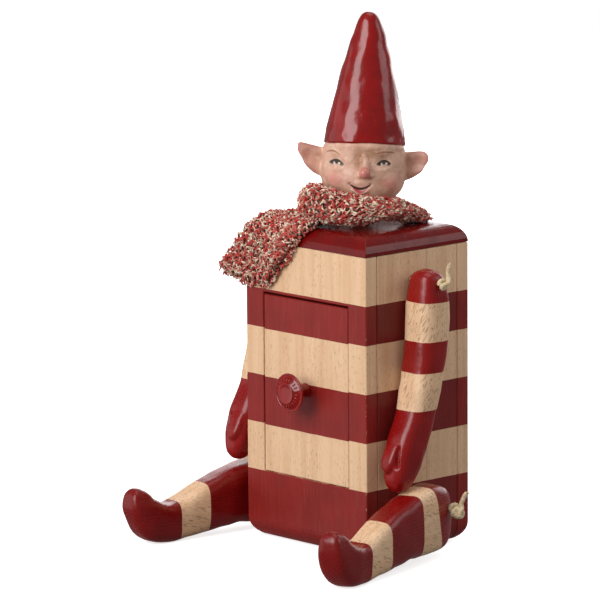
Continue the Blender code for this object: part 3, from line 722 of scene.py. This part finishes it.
def make_head():
    place = head_place()
    head = joined("head_sculpted", [head_skin(), ear_skin(1), ear_skin(-1), *nose_skins()], None)
    fuse(head, 0.38, 4)
    marks = []
    for x, z in EYES:
        marks.append(((x, face_y(x), z + 0.5), (6.0, 6.0, 4.2), -1.1))
        marks.append(((x, face_y(x), z - 0.3), (4.2, 5.0, 2.3), 0.8))
        marks.append(((x, face_y(x), z - 3.2), (5.0, 5.0, 1.8), 0.35))
    for x, z in BROWS:
        marks.append(((x, face_y(x), z - 0.6), (5.5, 6.0, 2.2), 0.5))
    for x, z in CHEEKS:
        marks.append(((x, face_y(x), z), (8.0, 9.0, 7.0), 1.0))
    mouth_x, mouth_z = MOUTH
    marks += [((mouth_x + t * 5.4, -20.6, mouth_z - 1.7 + 2.6 * t * t), (1.6, 4.0, 1.3), -1.0)
              for t in np.linspace(-1, 1, 9)]
    marks += [((mouth_x + t * 3.6, -20.6, mouth_z - 3.8 + 1.4 * t * t), (1.7, 4.0, 1.2), 0.55)
              for t in np.linspace(-1, 1, 7)]
    marks += [((mouth_x, -20.6, mouth_z + 1.9), (4.0, 4.0, 2.0), 0.55),
              ((mouth_x, -19, 15.0), (5, 6, 3), 0.8)]
    for side in (1, -1):
        low = 2.0 if side > 0 else 0.0
        marks += [((side * 27.5, -2.8, 33.6 - low), (6.4, 3.4, 5.2), -1.7),
                  ((side * 23.2, -2.2, 31.0 - low / 2), (4.5, 3.0, 5.6), -1.2)]
    sculpt(head.data, marks)
    hand_finish(head.data, 7, 0.28, 5)
    set_attribute(head.data, "ear_rim", ear_rim(coordinates_of(head.data)))
    head.data.materials.append(face_paint())
    head.matrix_world = place
    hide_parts("head")
    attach(head, "head_and_hat")


def stroke(graph, x, z, centre, half_length, rise, width, taper=0.75):
    """A brush stroke across the face: 1 on a line that bends by rise over its half length."""
    cx, cz = centre[0] * MM, centre[1] * MM
    t = graph.times(graph.math("SUBTRACT", x, cx), 1 / (half_length * MM))
    t2 = graph.times(t, t)
    line = graph.total(graph.times(t2, rise * MM), cz)
    off = graph.math("ABSOLUTE", graph.math("SUBTRACT", z, line))
    half = graph.times(graph.math("SUBTRACT", 1.0, graph.times(t2, taper), clamp=True), width * MM / 2)
    edge = graph.math("SUBTRACT", off, half)
    on = graph.step(edge, -0.12 * MM, 0.14 * MM, 1.0, 0.0)
    return graph.times(on, graph.step(t2, 0.85, 1.05, 1.0, 0.0))


def spot(graph, x, z, centre, radius, inner=0.0):
    """A soft round spot, full out to inner and gone at radius."""
    dx = graph.times(graph.math("SUBTRACT", x, centre[0] * MM), 1 / (radius[0] * MM))
    dz = graph.times(graph.math("SUBTRACT", z, centre[1] * MM), 1 / (radius[1] * MM))
    distance = graph.math("SQRT", graph.total(graph.times(dx, dx), graph.times(dz, dz)))
    return graph.step(distance, inner, 1.0, 1.0, 0.0)


def face_paint():
    """Skin tone with rosy cheeks, nose and ears, freckles, and brushed brows, eyes and mouth."""
    graph = Graph("face_paint")
    x, y, z = graph.axes()
    front = graph.step(y, -6 * MM, -10 * MM)
    cloud, blotch = graph.cloud(9, 4, 0.6), graph.cloud(2.6, 3, 0.6)
    color = graph.mix(graph.step(cloud, 0.35, 0.7), SKIN, SKIN_TAN)
    color = graph.lay(color, (0.82, 0.58, 0.44), graph.step(blotch, 0.45, 0.7), 0.5)

    def dab(paint, centre, radius, inner, *shares):
        nonlocal color
        color = graph.lay(color, paint, spot(graph, x, z, centre, radius, inner), *shares, front)

    def brush(paint, centre, half_length, rise, width, strength, taper=0.75):
        nonlocal color
        line = stroke(graph, x, z, centre, half_length, rise, width, taper)
        color = graph.lay(color, paint, line, strength, front)

    for centre, radius, strength in ((CHEEKS[0], (8.5, 6.5), 0.62), (CHEEKS[1], (8.5, 6.0), 0.62),
                                     (NOSE, (4.6, 4.8), 0.45)):
        dab(ROSE, centre, radius, 0.0, strength)
    tip = graph.times(spot(graph, x, z, NOSE, (3.5, 3.9), 0.7), graph.step(y, -20.5 * MM, -22.5 * MM))
    color = graph.lay(color, (0.50, 0.14, 0.12), tip, 0.7)
    ear = graph.step(graph.math("ABSOLUTE", x), 22 * MM, 30 * MM)
    color = graph.lay(color, (0.74, 0.36, 0.31), ear, 0.42)
    color = graph.lay(color, (0.50, 0.15, 0.14), graph.attribute("ear_rim")["Fac"], 0.6)
    for centre, radius, strength in (((-3.2, 35.8), (3.9, 7.6), 1.0), ((4.0, 38.6), (9.0, 3.6), 0.8)):
        dab((0.40, 0.20, 0.11), centre, radius, 0.3, graph.step(blotch, 0.28, 0.52), strength)
    dab((0.30, 0.13, 0.06), (3.5, 35.5), (15.0, 9.0), 0.3, graph.patches(0.95, 1, 0.62, 0.68), 0.6)
    for centre, half_length, rise in zip(BROWS, (3.6, 5.2), (-1.9, -1.0)):
        brush((0.26, 0.095, 0.04), centre, half_length, rise, 0.95, 0.8)
    for cx, cz in EYES:
        for dx, dz, size in ((-2.4, -0.2, (1.2, 1.2)), (0.0, 0.2, (1.2, 0.9)), (2.5, -0.5, (1.0, 1.1))):
            dab((0.022, 0.014, 0.011), (cx + dx, cz + dz), size, 0.7, 0.95)
        brush((0.018, 0.011, 0.009), (cx, cz + 1.2), 3.9, -1.8, 1.25, 0.97)
        for dx, dz in ((-1.1, -0.4), (1.3, -0.2)):
            dab((0.70, 0.60, 0.52), (cx + dx, cz + dz), (0.7, 0.6), 0.6, 0.85)
        brush((0.80, 0.60, 0.46), (cx, cz - 1.5), 3.2, 0.8, 0.5, 0.5)
    mouth_x, mouth_z = MOUTH
    brush((0.50, 0.075, 0.095), (mouth_x, mouth_z - 2.4), 4.5, 2.6, 2.6, 1.0, 0.9)
    brush((0.62, 0.40, 0.30), (mouth_x + 0.9, mouth_z - 2.0), 3.4, 2.0, 0.9, 0.7, 0.9)
    brush((0.05, 0.018, 0.014), (mouth_x, mouth_z - 1.4), 5.6, 2.4, 1.3, 0.95, 0.5)
    roughness = graph.total(graph.step(cloud, 0.3, 0.7, 0.36, 0.50), graph.times(tip, -0.28))
    relief = graph.total(graph.times(graph.cloud(0.7, 3, 0.6), 0.4), blotch)
    return graph.finish(Base_Color=color, Roughness=roughness, Normal=graph.bump(relief, 0.10, 0.7),
                        Subsurface_Weight=0.06, Subsurface_Scale=0.003)


def make_hat():
    """A tall cone with a slightly swelling, uneven surface and a rolled lower edge."""
    outline = ((19.4, 0.25), (20.3, 0.0), (20.85, 0.5), (20.9, 1.4), (20.3, 6.0), (18.9, 14.0),
               (16.0, 27.0), (12.9, 40.0), (9.6, 53.0), (6.4, 63.0), (4.3, 67.0), (2.3, 68.7), (0.6, 69.1))
    tall = outline[-1][1]
    rings = []
    for radius, height in curve_between(outline, 8):
        lift = BRIM_LIFT * (1 - height / tall) ** 2
        ring = []
        for a in round_turn(160):
            flute = 1 + 0.010 * math.sin(5 * a + 0.04 * height) * min(1.0, height / 20)
            x, y = radius * flute * math.cos(a), radius * flute * math.sin(a)
            ring.append((x * MM, y * MM, (BRIM_HEIGHT + height - y * lift) * MM))
        rings.append(ring)
    inner = [[(x * 0.93, y * 0.93, z + 0.4 * MM) for x, y, z in rings[0]]]
    vertices, faces = skin(inner + rings)
    paint = red_gloss("hat_paint", 0.5, 7, 0.20)
    hat = new_piece("hat_moulded", vertices, faces, paint, head_place())
    hand_finish(hat.data, 9, 0.55, 21)
    hand_finish(hat.data, 3.5, 0.12, 22)
    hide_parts("hat")
    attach(hat, "head_and_hat")


# ---------------------------------------------------------------- scarf

# The rest is in millimetres
STITCH = 2.3                              # along a row
ROW = 1.55                                # between rows
YARN = 0.56                               # yarn radius
YARN_STEP = 0.5                           # between the points along a yarn
PLY_TURN = 3.6                            # the length in which its two plies turn once
CLOTH_DEPTH = 2.4                         # from the knit's face to its back
BOARD_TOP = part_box("top_board")[1].z / MM
FRONT = -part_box("front_panel")[0].y / MM
EDGE_ROUND = 9.2                          # radius of the top board's front edge
COLLAR_TOP = 17.6                         # above the top board
COLLAR_LUMP = (263, 42, 4.6)              # direction and spread in degrees, and rise in millimetres
COLLAR_SLUMP = (64, 50, -10.6)
COLLAR_TUCK = (352, 30, 3.4)              # where its underside is drawn up clear of the board
COLLAR_END = (45, 16, 4.2)
TAIL_FLAT = 15.0                          # the loose end's run on the top board
# The loose end's two edges: X, and the distance run from the collar
TAIL_OUTER = ((-33.0, 0.0), (-37.0, 10.0), (-38.0, 22.0), (-43.0, 32.0), (-52.0, 42.5), (-60.5, 52.0))
TAIL_INNER = ((0.0, 0.0), (1.5, 12.0), (0.5, 22.0), (-5.0, 32.0), (-13.0, 42.5), (-25.0, 55.5))
TAIL_WIDTH, TAIL_LENGTH = 36.0, 55.0
TAIL_STEPS = 12                           # between one of those points and the next
TAIL_SIDES = [curve_between(edge, TAIL_STEPS) for edge in (TAIL_OUTER, TAIL_INNER)]


def bell(angle, shape):
    """The height of a bell-shaped rise round the neck at an angle in radians."""
    direction, spread, height = shape
    off = (math.degrees(angle) - direction + 180) % 360 - 180
    return height * math.exp(-(off / spread) ** 2)


def collar_outline(angle):
    """The collar's section at an angle round the neck, as (radius, height) points in millimetres."""
    top = COLLAR_TOP + bell(angle, COLLAR_LUMP) + bell(angle, COLLAR_SLUMP)
    end = bell(angle, COLLAR_END)
    low = min(1.0, top / COLLAR_TOP)
    wave = 0.7 * math.sin(3 * angle + 0.6) + 0.5 * math.sin(7 * angle + 1.0)
    sink = 1.0 - 0.55 * bell(angle, (45, 40, 1.0))
    tuck = bell(angle, COLLAR_TUCK)
    return ((22.5, 2.9 * sink + tuck * 0.5), (26.8 + end * 0.6, 3.2 * sink + tuck * 0.9),
            (30.6 + end, 5.0 * low * sink + 0.2 + tuck), (32.2 + wave + end * 0.3, 8.8 * low + tuck * 0.4),
            (31.0 + wave, top - 4.9 * low), (28.3, top - 1.9), (26.0, top - 1.4),
            (25.0, 11.5 * low), (22.4, 8.5 * low))


def on_collar(angle, share, lift):
    """A point on the collar's cloth, at an angle and a share of the way up and over, raised by lift."""
    outline = collar_outline(angle)
    t = share * (len(outline) - 1)
    i = min(max(int(t), 0), len(outline) - 2)
    t -= i
    before, here, after, beyond = (outline[min(max(i + k, 0), len(outline) - 1)] for k in (-1, 0, 1, 2))
    r, h = (between(*four, t) for four in zip(before, here, after, beyond))
    dr, dh = after[0] - here[0], after[1] - here[1]
    size = math.hypot(dr, dh) or 1.0
    r, h = r + lift * dh / size, h - lift * dr / size
    centre = JOINTS["head_turn"]["pos_m"]
    return (centre[0] + r * math.cos(angle) * MM, centre[1] + r * math.sin(angle) * MM,
            (BOARD_TOP + h) * MM)


def on_tail(across, along_share, lift):
    """A point on the loose end: 0 to 1 from its outer to its inner edge, and 0 to 1 along it."""
    last = len(TAIL_SIDES[0]) - 1
    place = min(max(along_share, 0.0), 1.0) * last
    i = min(int(place), last - 1)
    t = place - i
    (x0, run0), (x1, run1) = (
        [p + (q - p) * t for p, q in zip(side[i], side[i + 1])] for side in TAIL_SIDES)
    x = x0 + (x1 - x0) * across
    run = run0 + (run1 - run0) * across + (along_share - place / last) * TAIL_LENGTH
    fold = 0.9 * math.sin(7.0 * across + 1.4) * min(1.0, 2 * along_share)
    lift = lift + 3.3 + fold
    radius = EDGE_ROUND + lift
    bend = radius * math.pi / 2
    if run < TAIL_FLAT:
        y, z = EDGE_ROUND - FRONT + TAIL_FLAT - run, BOARD_TOP + lift
    elif run < TAIL_FLAT + bend:
        a = (run - TAIL_FLAT) / radius
        y, z = EDGE_ROUND - FRONT - radius * math.sin(a), BOARD_TOP - EDGE_ROUND + radius * math.cos(a)
    else:
        y, z = -FRONT - lift, BOARD_TOP - EDGE_ROUND - (run - TAIL_FLAT - bend)
    return (x * MM, y * MM, z * MM)


def wander(place, seed, channel):
    return noise.noise(Vector((place, seed, channel)))


def knitted(name, rows, surface, rng, material, sides=6):
    """Bumpy marled yarn looped along rows of a surface: rows are (start, end, across, reach, length)."""
    skins, marl = [], []
    for start, end, across, reach, length in rows:
        samples = max(12, int(length / YARN_STEP))
        phase, seed = rng.uniform(0, 2 * math.pi), rng.uniform(0, 100)
        path, radii = [], []
        for i in range(samples + 1):
            t = i / samples
            place = t * length
            s = 2 * math.pi * place / STITCH + phase
            u = t + (0.34 * math.sin(2 * s) * STITCH + 1.5 * wander(place / 2.0, seed, 0)) / length
            v = across + reach * (0.62 * math.sin(s) * ROW + 1.9 * wander(place / 1.9, seed, 9))
            lift = 0.55 * math.cos(2 * s) + 1.7 * wander(place / 1.6, seed, 21)
            path.append(surface(start + (end - start) * u, v, lift))
            radii.append(YARN * MM * (1 + 0.55 * wander(place / 1.0, seed, 40)))
        skins.append(tube_skin(path, radii, sides))
        for i in range(samples + 1):
            place = length * i / samples
            twist = 2 * math.pi * place / PLY_TURN + 5.0 * wander(place / 3.0, seed, 60)
            marl += [math.sin(twist + 2 * math.pi * j / sides) for j in range(sides)]
    piece = joined(name, skins, material)
    set_attribute(piece.data, "marl", marl)
    return piece


def yarn_material():
    """Two plies twisted together, one red and one oatmeal, with hazy fibre."""
    graph = Graph("marled_yarn")
    marl = graph.attribute("marl")["Fac"]
    stray = graph.math("SUBTRACT", graph.cloud(3.2, 2), 0.5)
    share = graph.step(graph.total(marl, graph.times(stray, 5.0)), 0.05, 0.40)
    red_shift = graph.patches(4, 2, 0.35, 0.65)
    red = graph.mix(red_shift, YARN_RED, (0.55, 0.085, 0.06))
    cream_shift = graph.patches(2.5, 2, 0.35, 0.65)
    cream = graph.mix(cream_shift, YARN_CREAM, (0.50, 0.34, 0.24))
    color = graph.mix(share, red, cream)
    fibre = graph.cloud(0.22, 2)
    return graph.finish(Base_Color=color, Roughness=0.95, Normal=graph.bump(fibre, 0.12, 0.8),
                        Sheen_Weight=0.12, Sheen_Roughness=0.5)


def painted_shade_backing():
    """What shows between the loops: the same yarn, coloured dark as painted shade."""
    graph = Graph("scarf_backing_painted_shade")
    mottle = graph.patches(1.3, 3, 0.45, 0.55)
    color = graph.mix(mottle, (0.12, 0.012, 0.010), (0.20, 0.11, 0.075))
    weave = graph.cloud(0.8, 2)
    return graph.finish(Base_Color=color, Roughness=1.0, Normal=graph.bump(weave, 0.3, 0.8))


def fringe(name, rng, material):
    """Cut yarn ends and pulled loops that stand out along the loose end and the collar's other end."""
    skins, marl = [], []

    def strand(start, way, length):
        bend = Vector((rng.uniform(-1, 1), rng.uniform(-1, 1), rng.uniform(-1, 1))) * 0.35 * length
        path = [start + way * (length * t) + bend * (t * t) for t in (0, 0.35, 0.7, 1.0)]
        skins.append(tube_skin([tuple(q) for q in path], [0.5 * MM, 0.42 * MM, 0.36 * MM, 0.16 * MM], 6))
        marl.extend(math.sin(rng.uniform(0, 6) + 1.1 * i) for i in range(24))

    for _ in range(34):
        u = rng.uniform(0.0, 1.0)
        start = Vector(on_tail(u, 0.985, rng.uniform(-2.0, 0.6)))
        strand(start, Vector((rng.uniform(-0.5, 0.2), rng.uniform(-0.4, 0.2), -1.0)).normalized(),
               rng.uniform(1.6, 3.4) * MM)
    for _ in range(26):
        t, u = rng.uniform(0.35, 1.0), rng.choice((0.0, 1.0))
        start = Vector(on_tail(u, t, rng.uniform(-2.0, 0.4)))
        strand(start, Vector((u * 2 - 1, rng.uniform(-0.5, 0.3), rng.uniform(-0.6, 0.4))).normalized(),
               rng.uniform(1.2, 2.2) * MM)
    for _ in range(18):
        a = math.radians(COLLAR_END[0] + rng.gauss(0, 9))
        start = Vector(on_collar(a, rng.uniform(0.16, 0.34), 0.0))
        strand(start, Vector((math.cos(a), math.sin(a), -0.15)).normalized(), rng.uniform(1.4, 2.6) * MM)
    piece = joined(name, skins, material)
    set_attribute(piece.data, "marl", marl)
    return piece


def make_scarf():
    rng = random.Random(7)
    yarn = yarn_material()
    collar_rings = []
    for a in round_turn(96):
        outer = [on_collar(a, s, -0.5) for s in np.linspace(0, 1, 22)]
        inner = [on_collar(a, s, -CLOTH_DEPTH) for s in np.linspace(0.96, 0.10, 14)]
        collar_rings.append(outer + inner)
    tail_rings = []
    for t in np.linspace(0, 0.975, 34):
        upper = [on_tail(u, t, 0.0) for u in np.linspace(0.03, 0.97, 14)]
        lower = [on_tail(u, t, -CLOTH_DEPTH) for u in np.linspace(0.97, 0.03, 14)]
        tail_rings.append(upper + lower)
    # The cloth under the knit is coloured dark as painted shade between the loops.
    cloth = joined("scarf_cloth_painted_shade", [skin(collar_rings, closed=True), skin(tail_rings)], painted_shade_backing())

    outline_length, around = 42.0, 2 * math.pi * 30.0
    rows = int(outline_length / ROW)
    collar_rows = []
    for i in range(rows + 1):
        begin = rng.uniform(0, 2 * math.pi)
        collar_rows.append((begin, begin + 2 * math.pi, i / rows, 1 / outline_length, around))
    collar = knitted("scarf_collar_knit", collar_rows,
                     lambda a, s, lift: on_collar(a, min(max(s, -0.02), 1.0), lift), rng, yarn)
    count = int(TAIL_LENGTH / ROW)
    tail_rows = [(0.0, 1.0, i / count, 1 / TAIL_LENGTH, TAIL_WIDTH) for i in range(count + 1)]
    tail = knitted("scarf_tail_knit", tail_rows, lambda u, t, lift: on_tail(u, t, lift + 0.5), rng, yarn)
    under = knitted("scarf_tail_underside", tail_rows[count // 3:],
                    lambda u, t, lift: on_tail(u, t, 0.5 * lift - 2.2), rng, yarn, 5)
    ends = fringe("scarf_loose_yarn", rng, yarn)
    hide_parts("scarf")
    pieces = [collar, tail, under, ends]
    for piece in (cloth, *pieces):
        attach(piece, "box")


# ---------------------------------------------------------------- cords

CORD_RADIUS = 1.22 * MM
CORD_PLIES = 3
CORD_PITCH = 3.2 * MM                     # the length in which a ply turns once
CORD_STEP = 0.32 * MM
CORD_INSIDE = 60                          # X, in millimetres, up to which a cord's middle piece runs
KNOT_START = 66.8                         # X of the limb's outer face
# Each knot: its turns as (outward, up, radius), and its tail as (outward, back, up), in millimetres
KNOTS = {
    "shoulder": (((1.5, 0.0, 2.0), ),
                 ((3.5, -0.5, 0.3), (3.9, 1.2, 0.7), (3.2, 2.2, 2.6), (2.7, 2.3, 5.2), (2.9, 2.4, 7.6),
                  (3.4, 2.5, 9.2))),
    "hip": (((1.5, 0.0, 2.8), (3.5, -0.8, 2.2), (5.4, -1.0, 1.8)),
            ((6.3, -0.6, 0.4), (5.4, 1.4, 1.2), (4.4, 1.8, 3.2), (4.9, 2.4, 5.6), (5.8, 2.9, 7.8),
             (7.0, 3.1, 9.2)))}


def knot_path(side, y, z, outer, knot):
    """From inside the limb out along X, in tight turns about itself, and up into a short tail."""
    turns, tail = knot
    points = [(outer - 8.0, 0, 0), (outer - 3.0, 0, 0), (outer - 0.4, 0, 0)]
    for out, up, radius in turns:
        for i in range(9):
            a = math.radians(-70 + 40 * i)
            points.append((outer + out + 0.2 * (i - 4), radius * math.sin(a), up + radius * math.cos(a)))
    points += [(outer + out, back, up) for out, back, up in tail]
    return [(side * px * MM, y + py * MM, z + pz * MM) for px, py, pz in curve_between(points, 4)]


def twisted_cord(name, path, material):
    """Plies laid round a path as a twisted cotton cord."""
    path = np.asarray(path, float)
    steps = np.linalg.norm(np.diff(path, axis=0), axis=1)
    length = np.concatenate(([0.0], np.cumsum(steps)))
    count = int(length[-1] / CORD_STEP)
    places = np.linspace(0, length[-1], count)
    even = np.stack([np.interp(places, length, path[:, k]) for k in range(3)], 1)
    for _ in range(2):
        even[1:-1] = (even[:-2] + even[1:-1] * 2 + even[2:]) / 4
    _, across, up = tube(even, CORD_RADIUS, 3)
    skins = []
    for ply in range(CORD_PLIES):
        turn = 2 * math.pi * (places / CORD_PITCH + ply / CORD_PLIES)
        strand = even + (across * np.cos(turn)[:, None] + up * np.sin(turn)[:, None]) * CORD_RADIUS * 0.46
        skins.append(tube_skin(strand, CORD_RADIUS * 0.58, 8))
    return joined(name, skins, material)


def frayed_end(name, tip, direction, rng, material):
    """Loose fibres that spread from a cord's cut end."""
    skins = []
    for _ in range(16):
        spread = Vector((rng.uniform(-1, 1), rng.uniform(-1, 1), rng.uniform(-0.3, 1.0))) * 0.45
        way = (direction + spread).normalized()
        start = Vector(tip) + Vector((rng.uniform(-1, 1), rng.uniform(-1, 1), -0.6)) * 0.55 * MM
        bend = Vector((rng.uniform(-1, 1), rng.uniform(-1, 1), rng.uniform(-1, 1))) * 0.5 * MM
        path = [start, start + way * 0.9 * MM, start + way * 1.9 * MM + bend]
        skins.append(tube_skin([tuple(p) for p in path], [0.16 * MM, 0.15 * MM, 0.08 * MM], 5))
    return joined(name, skins, material)


def cotton_material():
    graph = Graph("cotton_cord_fibre")
    cloud = graph.cloud(2.0, 3)
    color = graph.mix(graph.step(cloud, 0.35, 0.65), COTTON, (0.62, 0.46, 0.26))
    fibre = graph.cloud(0.18, 2)
    return graph.finish(Base_Color=color, Roughness=0.9, Normal=graph.bump(fibre, 0.08, 0.8),
                        Sheen_Weight=0.2)


def make_cords():
    rng = random.Random(19)
    cotton = cotton_material()
    for name, joint in (("shoulder", "left_shoulder"), ("hip", "left_hip")):
        _, y, z = JOINTS[joint]["pos_m"]
        node = name + "_cord"
        middle = [(x * MM, y, z) for x in np.linspace(-CORD_INSIDE, CORD_INSIDE, 40)]
        pieces = [twisted_cord(node + "_middle", middle, cotton)]
        for side_name, side in (("left", 1), ("right", -1)):
            path = knot_path(side, y, z, KNOT_START, KNOTS[name])
            pieces.append(twisted_cord(f"{node}_knot_{side_name}", path, cotton))
            way = (Vector(path[-1]) - Vector(path[-4])).normalized()
            pieces.append(frayed_end(f"{node}_frayed_{side_name}", path[-1], way, rng, cotton))
        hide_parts(node)
        for piece in pieces:
            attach(piece, "box")


# ---------------------------------------------------------------- stage, light and camera

def make_stage():
    graph = Graph("pale_floor")
    tone = graph.noise((2.0, 2.0, 2.0), 2)
    color = graph.mix(tone, (0.90, 0.90, 0.90), (0.92, 0.92, 0.92))
    bounce = graph.add("ShaderNodeLightPath").outputs["Is Diffuse Ray"]
    color = graph.mix(bounce, color, (FLOOR_BOUNCE,) * 3)
    glow = graph.math("MULTIPLY_ADD", bounce, -FLOOR_GLOW, FLOOR_GLOW)
    material = graph.finish(Base_Color=color, Roughness=0.8, Emission_Color=(1.0, 1.0, 1.0),
                            Emission_Strength=glow)
    corners = [(x * FLOOR_REACH, y * FLOOR_REACH, 0) for x, y in ((-1, -1), (1, -1), (1, 1), (-1, 1))]
    floor = new_piece("floor", corners, [(0, 1, 2, 3)], material)
    floor.visible_glossy = False


def toward(azimuth, elevation):
    """The unit vector at an azimuth and elevation in degrees: 0 is the front and 90 is +X."""
    a, e = math.radians(azimuth), math.radians(elevation)
    return Vector((math.sin(a) * math.cos(e), -math.cos(a) * math.cos(e), math.sin(e)))


def area_light(name, azimuth, elevation, distance, size, power):
    way = toward(azimuth, elevation)
    light = bpy.data.lights.new(name, "AREA")
    light.shape = "RECTANGLE"
    light.size, light.size_y = size
    light.energy = power
    lamp = bpy.data.objects.new(name, light)
    bpy.context.scene.collection.objects.link(lamp)
    lamp.location = Vector(LIGHT_TARGET) + way * distance
    lamp.rotation_euler = way.to_track_quat("Z", "Y").to_euler()
    lamp.visible_camera = False


def make_light():
    """A soft key from the front, pale cards to the left, right and back, and an even dim room."""
    world = bpy.data.worlds.new("studio")
    world.use_nodes = True
    tree = world.node_tree
    room = tree.nodes["Background"]
    room.inputs["Color"].default_value = (1.0, 1.0, 1.0, 1.0)
    backdrop = tree.nodes.new("ShaderNodeBackground")
    backdrop.inputs["Color"].default_value = (1.0, 1.0, 1.0, 1.0)
    path = tree.nodes.new("ShaderNodeLightPath")
    strength = tree.nodes.new("ShaderNodeMath")
    strength.operation = "MULTIPLY_ADD"
    strength.inputs[1].default_value = ROOM_SHEEN - ROOM
    strength.inputs[2].default_value = ROOM
    tree.links.new(path.outputs["Is Glossy Ray"], strength.inputs[0])
    tree.links.new(strength.outputs[0], room.inputs["Strength"])
    mix = tree.nodes.new("ShaderNodeMixShader")
    tree.links.new(path.outputs["Is Camera Ray"], mix.inputs[0])
    tree.links.new(room.outputs[0], mix.inputs[1])
    tree.links.new(backdrop.outputs[0], mix.inputs[2])
    tree.links.new(mix.outputs[0], tree.nodes["World Output"].inputs[0])
    bpy.context.scene.world = world
    area_light("key_softbox", 1, 26, 1.1, (0.62, 0.9), KEY)
    area_light("card_left", -47, 0, 1.5, (1.4, 1.1), CARD_LEFT)
    area_light("card_right", 131, 25, 1.2, (0.6, 0.6), CARD_RIGHT)
    area_light("card_behind", 208, 18, 1.6, (2.2, 1.15), CARD_BEHIND)
    area_light("top_softbox", 180, 84, 1.2, (0.9, 0.9), TOP)
    bpy.context.scene.view_settings.view_transform = "Standard"


def make_camera():
    """A view from slightly above, off the figure's left front corner, through a long lens."""
    back = toward(VIEW_AZIMUTH, VIEW_ELEVATION)
    right = (-back).cross(Vector((0, 0, 1))).normalized()
    up = right.cross(-back)
    roll = math.radians(VIEW_ROLL)
    c, s = math.cos(roll), math.sin(roll)
    right, up = c * right + s * up, c * up - s * right
    camera = bpy.data.cameras.new("camera")
    camera.sensor_width = SENSOR
    camera.lens = LENS
    camera.clip_end = 30.0
    holder = bpy.data.objects.new("camera", camera)
    bpy.context.scene.collection.objects.link(holder)
    turn = Matrix((right, up, back)).transposed().to_4x4()
    turn.translation = (back * VIEW_DISTANCE + right * VIEW_ACROSS + up * VIEW_UP
                        + Vector((0, 0, VIEW_HEIGHT)))
    holder.matrix_world = turn
    bpy.context.scene.camera = holder


make_camera()
make_light()
make_stage()
dress_box()
make_knob()
make_limbs()
make_head()
make_hat()
make_scarf()
make_cords()
